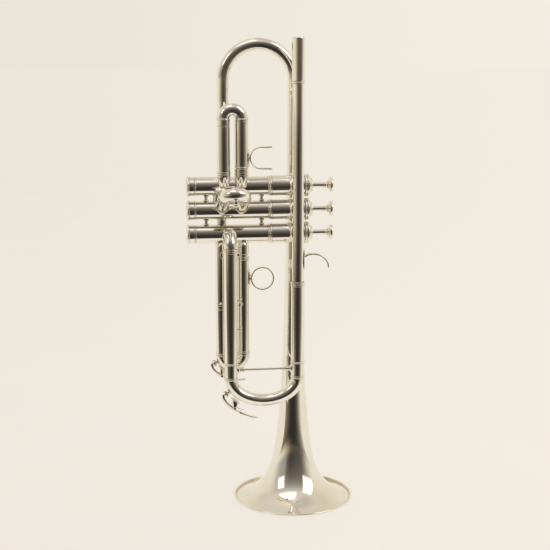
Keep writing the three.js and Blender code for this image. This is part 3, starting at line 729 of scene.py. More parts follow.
def bell():
    """One tube from the rolled rim up the flare, over the bow and down into the first valve."""
    route = bell_route()
    outer = []
    # Rows of the flare grow wider apart with height; the stem's are even.
    z = 0.62
    while z < FLARE_TOP:
        outer.append((z, flare_radius(z)))
        z += 0.12 + 0.028 * z if z < STEM_START else 4.5
    inner = []
    for k, (z, r) in enumerate(outer):
        za, ra = outer[max(k - 1, 0)]
        zb, rb = outer[min(k + 1, len(outer) - 1)]
        length = math.hypot(zb - za, rb - ra)
        inner.append((z + BELL_WALL * (rb - ra) / length, r - BELL_WALL * (zb - za) / length))
    bead = [(BEAD_R + BEAD_R * math.sin(a), RIM_R - BEAD_R + BEAD_R * math.cos(a))
            for a in np.linspace(-1.57, 3.6, 26)]
    rows = [(z, r, 0.0) for z, r in inner[::-1] if z > 0.05] + [(0.01, 59.75, 0.0)]
    # The groove where the flare meets the rolled rim bead carries grime and painted shade.
    rows += [(z, r, 1.0 if k > 18 else 0.0) for k, (z, r) in enumerate(bead)]
    rows += [(z, r, 1.0 if z < 0.9 else 0.0) for z, r in outer]
    # Past the flare, rows lie close together where the tube bends.
    end = route.length
    bow = [(s, STEM_R, 0.0) for s in np.arange(409.5, 425, 4)]
    bow += [(s, STEM_R, 0.0) for s in np.arange(427.4, 541, 1.1)]
    bow += [(s, float(np.interp(s, [541, 560], [STEM_R, TAIL_R])), 0.0)
            for s in np.arange(542, end - 14, 2.2)]
    bow += [(end - 12.5, TAIL_R, 0.0), (end, TAIL_R, 0.0)]
    lining = [(s, r - BOW_WALL, 0.0) for s, r, _ in bow[::-1]]
    shape = Shape().swept(rows + bow + lining, route, BELL_SIDES, [(0, SEAT_R)])
    piece("bell_and_bow", shape, "trumpet_body", ["bell", "bell_bow", "bell_tail"], SPUN)


# ---------- leadpipe side ----------
def receiver():
    profile = eased([(442, 4.9), (470.3, 5.2), (470.3, 6.0), (469.3, 6.45), (429.2, 6.25), (428.8, 6.1),
                     (428.4, 6.1), (428.1, 6.4), (427.2, 6.4), (426.9, 6.2), (426, 6.2), (426, 5.72),
                     (440.8, 5.72), (441, 4.6)], 0.3)
    shape = Shape().swept(profile, upright(LEAD_X, LEAD_Y))
    fine("mouthpiece_receiver", shape, finish=SPUN)


def leadpipe():
    profile = eased([(234.5, 4.9), (234.5, 5.98), (440.5, 5.6), (440.5, 4.4)], 0.2)
    shape = Shape().swept(profile, upright(LEAD_X, LEAD_Y))
    fine("leadpipe", shape)


def ringed(top, rings):
    """A main tuning sleeve's profile, with a bead at its lower end and rings at given heights."""
    corners = [(152.3, SLEEVE_BORE), (152.3, 6.9), (152.7, 7.25), (153.4, 7.25), (153.8, SLEEVE_R)]
    for low, high, size in rings:
        corners += [(low - 0.02, SLEEVE_R), (low + 0.02, size), (high - 0.02, size), (high + 0.02, SLEEVE_R)]
    return corners + [(top, SLEEVE_R), (top, SLEEVE_BORE)]


def tuning_sleeves():
    for name, x, top, rings in (
            ("upper_tuning_sleeve", LEAD_X, 234.3, [(229.9, 231.3, 7.1), (232.2, 233.9, 7.15)]),
            ("lower_tuning_sleeve", LOW_X, 267.9, [(263.7, 265.3, 7.1), (266.0, 267.6, 7.15)])):
        shape = Shape().swept(eased(ringed(top, rings), 0.3), upright(x, LEAD_Y))
        fine(name, shape)


def tuning_elbow():
    bend = 12
    turn = arc(vec(LOW_X, LEAD_Y + bend, 268.4), vec(0, -bend, 0), vec(0, 0, bend))
    route = Route([vec(LOW_X, LEAD_Y, 267.9)] + turn + [vec(LOW_X, VALVE_Y, 280.4)], RIGHT)
    end = route.length
    profile = eased([(0.2, LEG_BORE), (0.2, SLEEVE_R), (end - 13, SLEEVE_R, 0), (end - 12.6, 7.05),
                     (end - 11.4, 7.05), (end - 11, SLEEVE_R), (end - 7, SLEEVE_R, 0), (end, SLEEVE_R, 0),
                     (end, LEG_BORE, 0), (end - 7, LEG_BORE, 0)],
                    0.3, 0.8)
    shape = Shape().swept(bare_end(profile, end - 7, end), route, seats=[(2, SEAT_R)])
    fine("lower_tuning_elbow", shape)


# ---------- valves ----------
def valve_route(index):
    return straight(vec(0, VALVE_Y, VALVE_Z[index]), RIGHT)


CASING = [(-100.7, 8.65), (-100.7, 9.5), (-99.9, 9.5), (-99.6, 9.25), (-28.8, 9.25, 0.3), (-28.1, 9.9, 0.4),
          (-27.3, 9.45, 0.4), (-26.3, 10.4, 0.6), (-25.2, 10.1, 0.4), (-6.4, 10.1, 0.6), (-5.6, 9.65, 0.6),
          (7.6, 9.55), (7.6, 8.65)]
BOTTOM_CAP = [(-108.2, 1.6), (-108.2, 3.0), (-107.7, 3.6), (-107.7, 7.8), (-108.2, 8.4), (-108.2, 9.4),
              (-107.7, 10.1), (-106.7, 10.1), (-106.2, 9.5), (-101, 9.45), (-101, 8.4), (-106.4, 8.4),
              (-106.4, 1.6)]
TOP_CAP = [(7.9, 8.6), (7.9, 10.7), (8.5, 11.15), (9.3, 11.15), (9.6, 10.75), (9.9, 10.75), (10.2, 11.15),
           (11.8, 11.15), (12.4, 10.7), (12.7, 9.6), (13.2, 8.6), (14.0, 7.7, 0.8), (14.9, 7.0), (15.3, 6.9),
           (15.9, 6.3), (16.1, 5.4), (16.1, 3.3), (15.8, 3.1), (11.6, 3.1), (11.6, 8.6)]
BUTTON = [(30, 0), (30, 3.1), (31.2, 3.5), (32.0, 5.0), (32.7, 6.5), (33.7, 7.5), (34.6, 7.62), (35.4, 7.45),
          (36.2, 6.8), (36.4, 6.0), (36.25, 5.0), (35.8, 3.4), (35.55, 1.6), (35.5, 0)]


def valve_shells(index):
    """The turned parts on one valve's axis that show from outside."""
    for name, corners, soft, sides, body, finish in (
            ("valve_casing", CASING, 0.25, 96, "trumpet_body", TURNED),
            ("bottom_cap", BOTTOM_CAP, 0.35, 96, "trumpet_body", TURNED),
            ("top_cap", TOP_CAP, 0.35, 96, "trumpet_body", TURNED),
            ("finger_button", BUTTON, 0.5, 72, f"valve_{index + 1}", HANDLED)):
        shape = Shape().swept(eased(corners, soft), valve_route(index), sides)
        fine(f"{name}_{index + 1}", shape, body, finish)


def piston(index):
    """Shell, stem and spring barrel, with three windway tubes across it."""
    route = valve_route(index)
    stem = eased([(0, 0), (0, 6.9), (-31.5, 6.9), (-31.5, 7.6), (-82, 7.6), (-82, PISTON_R), (-30, PISTON_R),
                  (-29.6, 7.5), (2, 7.5), (2, 3.4), (3.2, 2.5), (27.6, 2.5), (28.2, 2.9), (29.2, 2.9),
                  (29.7, 2.3), (29.7, 0)], 0.3)
    shape = Shape().swept(stem, route, 64)
    for x, degrees in ((-73.5, 90), (-57, 150), (-40.5, 30)):
        angle = math.radians(degrees)
        way = vec(0, math.cos(angle), math.sin(angle))
        centre = vec(x, VALVE_Y, VALVE_Z[index])
        windway = [(-5, 4.8, 0.0), (-5, 5.4, 0.0), (5, 5.4, 0.0), (5, 4.8, 0.0)]
        shape.swept(windway, Route([centre, centre + way]), 40, [(index, PISTON_R - 0.05)])
    fine(f"piston_{index + 1}", shape, f"valve_{index + 1}", TURNED)


def guide_and_spring(index):
    z = VALVE_Z[index]
    hub = eased([(-27.8, 2.0), (-27.8, 5.6), (-25.8, 5.6), (-25.8, 2.0)], 0.2)
    shape = Shape().swept(hub, valve_route(index), 40)
    wings = Route([vec(-26.8, VALVE_Y - 8.2, z), vec(-26.8, VALVE_Y + 8.2, z)], RIGHT)
    for low, high in ((0, 0.24), (0.76, 1)):
        ends = [wings.place(share * wings.length)[0] for share in (low, high)]
        shape.bar(Route(ends, RIGHT), [(0, 1.6, 2.4), (1, 1.6, 2.4)])
    fine(f"valve_guide_{index + 1}", shape)
    start = to_frame(vec(-25.2, VALVE_Y, z))
    values = {"Turns": 6.0, "Radius": 0.0049, "Length": 0.0245, "Wire": 0.0005, "Start": tuple(start),
              "Turned": (0.0, math.pi / 2, 0.0)}
    name = f"valve_spring_{index + 1}"
    spring = grown(name + "_fine", COIL, values, f"valve_{index + 1}", [name], WIRE)
    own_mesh(spring)


def links_and_posts():
    for name, x, upper, lower in (("valve_link_1_2", -78, 0, 1), ("valve_link_2_3", -74, 1, 2)):
        route = Route([vec(x, VALVE_Y, VALVE_Z[lower]), vec(x, VALVE_Y, VALVE_Z[upper])])
        span = route.length
        profile = eased([(0, 3.9, 0), (0, 4.6, 0), (8.6, 4.6, 0), (9.6, 4.95), (span - 9.6, 4.95),
                         (span - 8.6, 4.6, 0), (span, 4.6, 0), (span, 3.9, 0)], 0.5)
        shape = Shape().swept(profile, route, 48, [(upper, SEAT_R), (lower, SEAT_R)])
        fine(name, shape)
    for label, x in (("bottom", -89.3), ("top", -34.6)):
        for upper, lower in ((0, 1), (1, 2)):
            route = Route([vec(x, VALVE_Y, VALVE_Z[lower]), vec(x, VALVE_Y, VALVE_Z[upper])])
            low, mid, high = CASING_R - 0.1, route.length / 2, route.length - CASING_R + 0.1
            profile = eased([(low, 0), (low, 2.9), (low + 0.5, 2.9), (mid - 1.3, 2.5), (mid - 0.8, 1.6),
                             (mid + 0.8, 1.6), (mid + 1.3, 2.5), (high - 0.5, 2.9), (high, 2.9),
                             (high, 0)], 0.4)
            shape = Shape().swept(profile, route, 40)
            fine(f"casing_post_{label}_{upper + 1}_{lower + 1}", shape)


# ---------- first slide ----------
FIRST_Y, FIRST_LEFT, FIRST_RIGHT, FIRST_TOP = -27.0, -72.4, -55.0, 393.3


def knuckle_route(x, top):
    """Down the slide's side and round into the front of the first valve."""
    bend = 10
    turn = arc(vec(x, FIRST_Y + bend, 338.2), vec(0, -bend, 0), vec(0, 0, -bend))
    return Route([vec(x, FIRST_Y, top)] + turn + [vec(x, VALVE_Y, 328.2)], RIGHT)


def first_fixed():
    for name, x, top, outer, bore, rings in (
            ("sleeve", FIRST_LEFT, 385.8, SLEEVE_R, SLEEVE_BORE, [(43.6, 44.7), (45.3, 46.4)]),
            ("leg", FIRST_RIGHT, 383.0, LEG_R, LEG_BORE, [(38.0, 40.3), (41.6, 43.9)])):
        route = knuckle_route(x, top)
        end = route.length
        corners = [(0, bore), (0, outer)]
        for low, high in rings:
            corners += [(low - 0.02, outer), (low + 0.02, 6.95), (high - 0.02, 6.95), (high + 0.02, SLEEVE_R)]
            outer = 6.65
        wall = end - 6.5
        corners += [(wall, SLEEVE_R, 0), (end, SLEEVE_R, 0), (end, LEG_BORE, 0), (wall, LEG_BORE, 0)]
        profile = bare_end(eased(corners, 0.3, 0.8), wall, end)
        # The bare leg just above its first ring, where it meets the moving sleeve, carries grime and painted
        # shade.
        gap = rings[0][0]
        profile = [(s, r, 1.0 if gap - 1.3 < s < gap and outer > r else nook) for s, r, nook in profile]
        shape = Shape().swept(profile, route, seats=[(0, SEAT_R)])
        fine("first_slide_fixed_" + name, shape)


def first_crook():
    radius = (FIRST_RIGHT - FIRST_LEFT) / 2
    centre = vec(FIRST_LEFT + radius, FIRST_Y, FIRST_TOP)
    over = arc(centre, vec(-radius, 0, 0), vec(0, 0, radius), math.pi, 60)
    route = Route([vec(FIRST_LEFT, FIRST_Y, 345)] + over + [vec(FIRST_RIGHT, FIRST_Y, 391.2)], AWAY)
    end = route.length
    top = 391.2 - 345
    corners = [(0, LEG_BORE), (0, LEG_R), (41.75, LEG_R), (41.8, SLEEVE_R), (top + 1.2, SLEEVE_R),
               (top + 1.3, 6.95), (top + 1.9, 6.95), (top + 2.2, CROOK_R), (end - 2.2, CROOK_R),
               (end - 1.9, 6.95), (end - 1.3, 6.95), (end - 1.2, SLEEVE_R), (end, SLEEVE_R),
               (end, LEG_BORE)]
    # The leg where it comes out of the fixed sleeve carries grime and painted shade.
    profile = [(s, r, 1.0 if 40.3 < s < 41.8 else nook) for s, r, nook in eased(corners, 0.3, 0.8)]
    shape = Shape().swept(profile, route)
    nub = eased([(0, 0), (0, 1.5), (1.2, 1.3), (2.0, 0.6), (2.1, 0)], 0.4)
    shape.swept(nub, straight(vec(FIRST_LEFT + 2.2, FIRST_Y, FIRST_TOP + 12.4), vec(-0.42, -0.1, 0.9)), 24)
    fine("first_slide_crook", shape, "first_slide")


def first_sleeve():
    profile = eased([(346, SLEEVE_BORE), (346, 6.75), (346.3, 6.9), (346.9, 6.9), (347.2, SLEEVE_R),
                     (390.9, SLEEVE_R), (390.9, SLEEVE_BORE)], 0.25)
    shape = Shape().swept(profile, upright(FIRST_RIGHT, FIRST_Y))
    fine("first_slide_moving_sleeve", shape, "first_slide")


def thumb_saddle():
    """An open hoop soldered to the moving sleeve by a short neck."""
    z, radius, centre = 355.3, 10.3, -36.4
    hoop = arc(vec(centre, FIRST_Y, z), vec(0, 0, radius), vec(-radius, 0, 0), math.pi, 40)
    tips = vec(-24.9, FIRST_Y, z + radius + 0.5), vec(-24.9, FIRST_Y, z - radius - 0.5)
    before = [tips[0], vec(-28, FIRST_Y, z + radius + 0.1)]
    route = Route(before + hoop + [vec(-28, FIRST_Y, z - radius - 0.1), tips[1]], AWAY)
    sizes = [(0, 6.4, 2.1), (0.12, 7.6, 1.9), (0.3, 7.6, 1.5), (0.7, 7.6, 1.5), (0.88, 7.6, 1.9),
             (1, 6.4, 2.1)]
    shape = Shape().bar(route, sizes, 3.0)
    shape.flange(vec(FIRST_RIGHT, FIRST_Y, z), UP, RIGHT, 6.65, 8.5, 0.62, 1.0)
    neck = eased([(6.4, 0), (6.4, 4.2), (7.4, 3.2), (8.4, 3.6), (8.9, 3.9), (8.9, 0)], 0.7)
    shape.swept(neck, straight(vec(FIRST_RIGHT, FIRST_Y, z), RIGHT), 32)
    fine("thumb_saddle", shape, "first_slide", HANDLED)


# ---------- second slide ----------
TILT = math.radians(22)
SECOND_OUT = vec(0, -math.cos(TILT), math.sin(TILT))
SECOND_DOWN = vec(0, -math.sin(TILT), -math.cos(TILT))
SECOND_LEFT, SECOND_RIGHT, SECOND_REACH = -74.5, -55.5, 55.0


def second_at(x, d):
    return vec(x, VALVE_Y, VALVE_Z[1]) + SECOND_OUT * d


def second_sleeves():
    for side, x in (("left", SECOND_LEFT), ("right", SECOND_RIGHT)):
        profile = eased([(0, SLIM_BORE, 0), (0, SLIM_SLEEVE_R, 0), (10.5, SLIM_SLEEVE_R, 0),
                         (13.2, SLIM_SLEEVE_R), (13.4, 6.9), (14.6, 6.95), (15.0, 6.6), (15.3, 6.95),
                         (16.2, 6.9), (16.4, SLIM_SLEEVE_R), (35.6, SLIM_SLEEVE_R), (35.8, 6.6),
                         (37.9, 6.6), (37.9, SLIM_SLEEVE_BORE), (16, SLIM_SLEEVE_BORE), (15.8, SLIM_BORE),
                         (10.5, SLIM_BORE, 0)], 0.3)
        profile = [row for row in profile if row[0] == 0 or row[0] >= 10.4]
        route = Route([second_at(x, 0), second_at(x, 40)])
        shape = Shape().swept(profile, route, seats=[(1, SEAT_R)])
        name = f"second_slide_sleeve_{side}"
        fine(name, shape)


def second_crook():
    radius = (SECOND_RIGHT - SECOND_LEFT) / 2
    middle = (SECOND_RIGHT + SECOND_LEFT) / 2
    bend = SECOND_REACH - radius
    over = arc(second_at(middle, bend), vec(-radius, 0, 0), SECOND_OUT * radius, math.pi, 60)
    route = Route([second_at(SECOND_LEFT, 17)] + over + [second_at(SECOND_RIGHT, 17)])
    end = route.length
    half = [(0, SLIM_BORE), (0, SLIM_LEG_R), (21.2, SLIM_LEG_R), (21.3, 6.6), (24.2, 6.6), (24.4, 6.3),
            (24.7, 6.3), (24.9, 6.6), (27.9, 6.6), (28.1, SLIM_SLEEVE_R)]
    shape = Shape().swept(eased(mirrored(half, end), 0.3, 0.8), route)
    start = second_at(middle, SECOND_REACH) + SECOND_DOWN * 5.6
    knob = eased([(0, 0), (0, 1.7), (1.6, 1.5), (2.4, 2.0), (4.2, 3.2), (4.9, 3.7), (6.0, 3.7), (6.7, 3.1),
                  (7.0, 1.6), (7.1, 0)], 0.5)
    shape.swept(knob, straight(start, SECOND_DOWN), 40)
    fine("second_slide_crook", shape, "second_slide")


# ---------- third slide ----------
THIRD_Y, THIRD_LEFT, THIRD_RIGHT, THIRD_LOW = -20.0, -74.7, -53.3, 157.6
STOP_X, STOP_Y = -58.0, -28.6


def third_fixed():
    left = eased([(206, SLIM_SLEEVE_BORE), (206, SLIM_SLEEVE_R), (209.0, SLIM_SLEEVE_R), (209.1, 6.5),
                  (210.8, 6.5), (210.9, SLIM_SLEEVE_R), (268, SLIM_SLEEVE_R, 0), (280.4, SLIM_SLEEVE_R, 0),
                  (280.4, SLIM_BORE, 0), (268, SLIM_BORE, 0), (262.2, SLIM_BORE),
                  (262, SLIM_SLEEVE_BORE)], 0.3)
    route = Route([vec(THIRD_LEFT, THIRD_Y, 0), vec(THIRD_LEFT, THIRD_Y, 300)])
    shape = Shape().swept(bare_end(left, 268, 280.4), route, seats=[(2, SEAT_R)])
    ball = eased([(0, 0), (0, 1.1), (1.0, 1.3), (2.2, 0.9), (2.5, 0)], 0.5)
    shape.swept(ball, straight(vec(THIRD_LEFT - 1.5, THIRD_Y - 5.8, 211.6), vec(-0.25, -1, 0)), 24)
    fine("third_slide_fixed_sleeve", shape)
    right = eased([(186, SLIM_BORE), (186, SLIM_LEG_R), (260, SLIM_LEG_R), (260.3, SLIM_SLEEVE_R),
                   (268, SLIM_SLEEVE_R, 0), (280.4, SLIM_SLEEVE_R, 0), (280.4, SLIM_BORE, 0),
                   (268, SLIM_BORE, 0)], 0.3)
    route = Route([vec(THIRD_RIGHT, THIRD_Y, 0), vec(THIRD_RIGHT, THIRD_Y, 300)])
    shape = Shape().swept(bare_end(right, 268, 280.4), route, seats=[(2, SEAT_R)])
    fine("third_slide_fixed_leg", shape)


def third_crook():
    radius = (THIRD_RIGHT - THIRD_LEFT) / 2
    middle = (THIRD_RIGHT + THIRD_LEFT) / 2
    under = arc(vec(middle, THIRD_Y, THIRD_LOW), vec(-radius, 0, 0), vec(0, 0, -radius), math.pi, 60)
    route = Route([vec(THIRD_LEFT, THIRD_Y, 255)] + under + [vec(THIRD_RIGHT, THIRD_Y, 160.2)], AWAY)
    end = route.length
    corners = [(0, SLIM_BORE), (0, SLIM_LEG_R), (50.05, SLIM_LEG_R), (50.1, SLIM_SLEEVE_R),
               (94.7, SLIM_SLEEVE_R), (94.8, 6.6), (95.7, 6.6), (95.8, 6.3), (96.1, 6.3), (96.2, 6.6),
               (97.1, 6.6), (97.3, SLIM_SLEEVE_R), (end - 2.4, SLIM_SLEEVE_R), (end - 2.2, 6.6), (end, 6.6),
               (end, SLIM_BORE)]
    shape = Shape().swept(eased(corners, 0.3, 0.8), route)
    spout(shape, THIRD_Y, (-79.4, 151.1), (-0.926, -0.377))
    fine("third_slide_crook", shape, "third_slide")


def third_sleeve():
    profile = eased([(160.4, SLIM_SLEEVE_BORE), (160.4, 6.5), (161.9, 6.5), (162.1, SLIM_SLEEVE_R),
                     (254.6, SLIM_SLEEVE_R), (254.8, 6.5), (255.9, 6.5), (256.1, 6.25), (256.3, 6.7),
                     (257.6, 6.7), (257.6, SLIM_SLEEVE_BORE)], 0.3)
    shape = Shape().swept(profile, upright(THIRD_RIGHT, THIRD_Y))
    eye = eased([(-1.2, 1.5), (-1.2, 2.5), (1.2, 2.5), (1.2, 1.5)], 0.3)
    shape.swept(eye, straight(vec(STOP_X, STOP_Y, 210.4), UP), 32)
    ends = vec(STOP_X + 1.7, STOP_Y + 1.9, 210.4), vec(THIRD_RIGHT - 1.6, THIRD_Y - 5.6, 210.4)
    arm = Route(ends, RIGHT)
    shape.bar(arm, [(0, 2.6, 2.2), (1, 3.6, 2.4)])
    fine("third_slide_moving_sleeve", shape, "third_slide")


def stop_rod():
    route = upright(STOP_X, STOP_Y)
    rod = [(183.8, 0), (183.8, 0.7), (184.1, 1.0), (184.6, 1.0), (184.7, 2.0), (186.9, 2.0), (187, 1.0),
           (213.5, 1.0), (213.6, 2.0), (216.3, 2.0), (216.4, 1.0), (262.2, 1.0), (262.9, 0.6), (262.9, 0)]
    shape = Shape().swept(eased(rod, 0.15), route, 32)
    arm = Route(through([vec(-72.6, -27.0, 260.5), vec(-67, -28.0, 260.5), vec(-62, -28.6, 260.5),
                         vec(STOP_X + 0.9, STOP_Y, 260.5)]), UP)
    shape.bar(arm, [(0, 3.6, 1.5), (0.5, 2.2, 1.5), (1, 2.8, 2.6)])
    shape.flange(vec(THIRD_LEFT, THIRD_Y, 260.2), UP, vec(0.3, -1, 0), 6.1, 4.2, 0.62, 1.0)
    fine("third_slide_stop_rod", shape)
    for label, low in (("low", 184.6), ("high", 213.6)):
        values = {"Count": 22, "Radius": 0.00204, "Height": 0.0022, "Ridge": 0.00026,
                  "Centre": tuple(to_frame(vec(STOP_X, STOP_Y, low + 1.25))), "Turned": (0.0, 0.0, 0.0)}
        grown(f"stop_nut_knurl_{label}", KNURL, values, "trumpet_body")


def finger_ring():
    """A whole ring, on a neck and foot like the thumb saddle's."""
    x, z, out, wall = -34.2, 235.4, 11.65, 1.35
    band = eased([(-3.4, out - wall), (-3.4, out), (3.4, out), (3.4, out - wall)], 0.6)
    shape = Shape().swept(band, straight(vec(x, THIRD_Y, z), AWAY), 96)
    shape.flange(vec(THIRD_RIGHT, THIRD_Y, z), UP, RIGHT, 6.1, 9.6, 0.66, 1.0)
    neck = eased([(6.0, 0), (6.0, 4.6), (6.9, 3.4), (7.6, 3.6), (8.3, 4.3), (8.3, 0)], 0.7)
    shape.swept(neck, straight(vec(THIRD_RIGHT, THIRD_Y, z), RIGHT), 32)
    fine("finger_ring", shape, "third_slide", HANDLED)


# ---------- main tuning slide ----------
def tuning_crook():
    half, middle = (LEAD_X - LOW_X) / 2, (LEAD_X + LOW_X) / 2
    bow = [vec(middle - half * math.cos(a), LEAD_Y, 137.3 - 22.5 * math.sin(a))
           for a in np.linspace(0, math.pi, 160)]
    route = Route([vec(LOW_X, LEAD_Y, 222), vec(LOW_X, LEAD_Y, 139)] + bow + [vec(LEAD_X, LEAD_Y, 139),
                  vec(LEAD_X, LEAD_Y, 222)], AWAY)
    end = route.length
    side = [(0, LEG_BORE), (0, LEG_R), (70, LEG_R), (70.1, SLEEVE_R), (82.9, SLEEVE_R), (83.0, 7.05),
            (83.9, 7.05), (84.0, 6.75), (84.3, 6.75), (84.4, 7.1), (85.0, 7.1), (85.2, CROOK_R)]
    shape = Shape().swept(eased(mirrored(side, end), 0.3, 1.0), route)
    spout(shape, LEAD_Y, (-70.0, 124.1), (-0.82, -0.57))
    fine("tuning_crook", shape, "tuning_slide")


def tuning_brace():
    z = 146.5
    start, end = LOW_X + 6.95, LEAD_X - 6.95
    span = end - start
    side = [(0, 0), (0, 3.3), (0.7, 3.2), (1.5, 2.2), (5.0, 2.1), (5.3, 2.4), (5.9, 2.4), (6.3, 1.3)]
    shape = Shape().swept(eased(mirrored(side, span), 0.4), straight(vec(start, LEAD_Y, z), RIGHT), 40)
    for x, facing in ((LOW_X, RIGHT), (LEAD_X, -RIGHT)):
        shape.flange(vec(x, LEAD_Y, z), UP, facing, 6.65, 4.4, 0.55, 0.5)
    fine("tuning_brace", shape, "tuning_slide")


# ---------- water keys ----------
def spout(shape, y, nipple, normal):
    """The bored seat on a crook that a water key's cork closes."""
    way = unit(vec(normal[0], 0, normal[1]))
    profile = eased([(-1.6, 1.3), (-1.6, 3.0), (-0.6, 2.5), (1.0, 2.4), (1.6, 2.2), (1.6, 1.3)], 0.3)
    shape.swept(profile, straight(vec(nipple[0], y, nipple[1]), way), 36)


LEVER_ROOT = 92  # points of a lever's centre line up to where its touch begins
LEVER_SHARED = 10  # points that root and touch have in common


def water_key(label, body, y, nipple, normal, pivot, lever):
    """A cork in its cup, the lever with its boss and spring tail, and the coils on its screw."""
    way = unit(vec(normal[0], 0, normal[1]))
    seat = vec(nipple[0], y, nipple[1])
    cork = eased([(2.0, 0), (2.0, 2.7), (2.4, 2.9), (3.9, 2.9), (3.9, 0)], 0.3)
    fine(f"{label}_cork", Shape().swept(cork, straight(seat, way), 40), body, CORK)
    cup = eased([(4.9, 0), (4.9, 2.7), (4.3, 3.5), (2.9, 3.5), (2.9, 3.15), (4.15, 3.15), (4.15, 0)], 0.25)
    shape = Shape().swept(cup, straight(seat, way), 40)
    points = [vec(px, y, pz) for px, pz in lever]
    curve = through(points, 16)
    twisted = unit(AWAY * 0.9 + vec(0.22, 0, 0.37))
    root = Route(curve[:LEVER_ROOT], twisted)
    shape.bar(root, [(0, 3.0, 2.4), (0.45, 2.8, 3.5), (1, 2.6, 3.0)], 4.0)
    touch = Route(curve[LEVER_ROOT - LEVER_SHARED:], AWAY)
    shape.bar(touch, [(0, 2.6, 2.8), (0.3, 4.4, 2.2), (0.8, 5.8, 1.7), (1, 4.8, 1.6)], 3.0)
    tail = [vec(pivot[0] + dx, y - 1.5, pivot[1] + dz) for dx, dz in ((1.2, 1.0), (4.6, 1.4), (9.0, -2.2))]
    wire = Route(through(tail, 8), AWAY)
    shape.swept(eased([(0, 0), (0, 0.44), (wire.length, 0.44), (wire.length, 0)], 0.1), wire, 12)
    boss = eased([(-0.95, 1.15), (-0.95, 2.2), (0.95, 2.2), (0.95, 1.15)], 0.3)
    shape.swept(boss, straight(vec(pivot[0], y, pivot[1]), AWAY), 36)
    fine(f"{label}_lever", shape, body, HANDLED)
    for side, start in (("near", -1.7), ("far", 1.2)):
        values = {"Turns": 1.5, "Radius": 0.0016, "Length": 0.0005, "Wire": 0.0002,
                  "Start": tuple(to_frame(vec(pivot[0], y + start + 0.5, pivot[1]))),
                  "Turned": (math.pi / 2, 0.0, 0.0)}
        grown(f"{label}_spring_{side}", COIL, values, body, (), WIRE)


def key_saddle(label, body, y, pivot, foot, facing, radius):
    """Two ears on a soldered foot, and the screw that the key turns on."""
    shape = Shape()
    middle = np.mean(np.array(foot), axis=0)
    along = unit(vec(-facing[1], 0, facing[0]))
    for side in (-1, 1):
        near, far = np.array(foot[0]) * 0.75 + middle * 0.25, np.array(foot[1]) * 0.75 + middle * 0.25
        outline = [near, (pivot[0] - 1.6, pivot[1] + 0.4), (pivot[0] - 1.3, pivot[1] - 1.3),
                   (pivot[0] + 0.3, pivot[1] - 1.9), (pivot[0] + 1.7, pivot[1] - 0.6), far]
        shape.slab(outline, y + side * 2.5, 0.5, 1.1)
    centre = vec(middle[0], y, middle[1]) - vec(facing[0], 0, facing[1]) * radius
    shape.flange(centre, along, vec(facing[0], 0, facing[1]), radius, 5.2, 0.55, 0.9)
    screw = eased([(-3.75, 0), (-3.75, 1.2), (-3.2, 1.5), (-3.0, 1.5), (-3.0, 0.85), (3.0, 0.85), (3.0, 1.3),
                   (3.6, 1.3), (3.7, 0)], 0.2)
    shape.swept(screw, straight(vec(pivot[0], y, pivot[1]), AWAY), 32)
    fine(f"{label}_saddle", shape, body)


def water_keys():
    tuning = [[-74.6, 122.6], [-75.0, 118.6], [-72.6, 113.4], [-69.2, 109.6], [-65.2, 106.2], [-61.0, 103.6],
              [-55.5, 101.2], [-50.0, 99.2], [-45.5, 97.9], [-41.0, 97.2]]
    water_key("tuning_key", "tuning_key", LEAD_Y, (-70.0, 124.1), (-0.82, -0.57), (-64.2, 107.6), tuning)
    key_saddle("tuning_key", "tuning_slide", LEAD_Y, (-64.2, 107.6), [(-66.9, 117.4), (-59.8, 112.4)],
               unit((-0.58, -0.81)), 6.25)
    third = [[-84.7, 150.4], [-84.6, 146.4], [-82.2, 141.8], [-78.6, 138.4], [-75.2, 136.6], [-71, 134.4],
             [-66, 132.8], [-59, 132.0], [-51.2, 132.6]]
    water_key("third_key", "third_key", THIRD_Y, (-79.4, 151.1), (-0.926, -0.377), (-75.2, 136.9), third)
    key_saddle("third_key", "third_slide", THIRD_Y, (-75.2, 136.9), [(-77.6, 146.4), (-71.0, 141.6)],
               unit((-0.6, -0.8)), 6.1)


# ---------- finger hook and braces ----------
def finger_hook():
    points = [[5.4, 258.6], [8.2, 260.4], [12, 261.3], [17, 261.2], [22, 259.4], [26, 256.2], [28.6, 251.8],
              [29.5, 246.8]]
    route = Route(through([vec(x, LEAD_Y, z) for x, z in points], 14), AWAY)
    sizes = [(0, 5.0, 2.6), (0.15, 5.6, 2.3), (0.5, 7.2, 2.0), (0.9, 7.4, 1.9), (1, 6.4, 1.8)]
    shape = Shape().bar(route, sizes, 3.0)
    shape.flange(vec(LEAD_X, LEAD_Y, 255.8), UP, RIGHT, 5.95, 11.6, 0.62, 1.1)
    fine("finger_hook", shape, finish=HANDLED)


def bell_braces():
    for name, z in (("upper_bell_brace", 418.0), ("lower_bell_brace", 247.0)):
        bell_r = flare_radius(z)
        start = LEAD_Y + 5.9
        span = 0.3 - bell_r - start
        side = [(0, 0), (0, 4.4), (0.5, 4.4), (1.4, 3.2), (2.2, 2.6), (2.9, 2.6), (3.4, 1.7)]
        profile = eased(mirrored(side, span), 0.5)
        shape = Shape().swept(profile, straight(vec(LEAD_X / 2, start, z), AWAY), 40)
        shape.flange(vec(LEAD_X, LEAD_Y, z), UP, AWAY, 5.85, 6.2, 0.75, 0.7)
        shape.flange(vec(0, 0, z), UP, -AWAY, bell_r - 0.1, 6.2, 0.7, 0.7)
        fine(name, shape)


# ---------- floor, light and camera ----------
SKY = (0.855, 0.812, 0.722)
CAMERA = (-173.6, -1176.4, 448.0)
FACING = math.radians(7.5)
PITCH = math.radians(10.2)
LENS = 77.9
TO_CAMERA = vec(-math.sin(FACING), -math.cos(FACING), 0)
TO_RIGHT = vec(math.cos(FACING), -math.sin(FACING), 0)


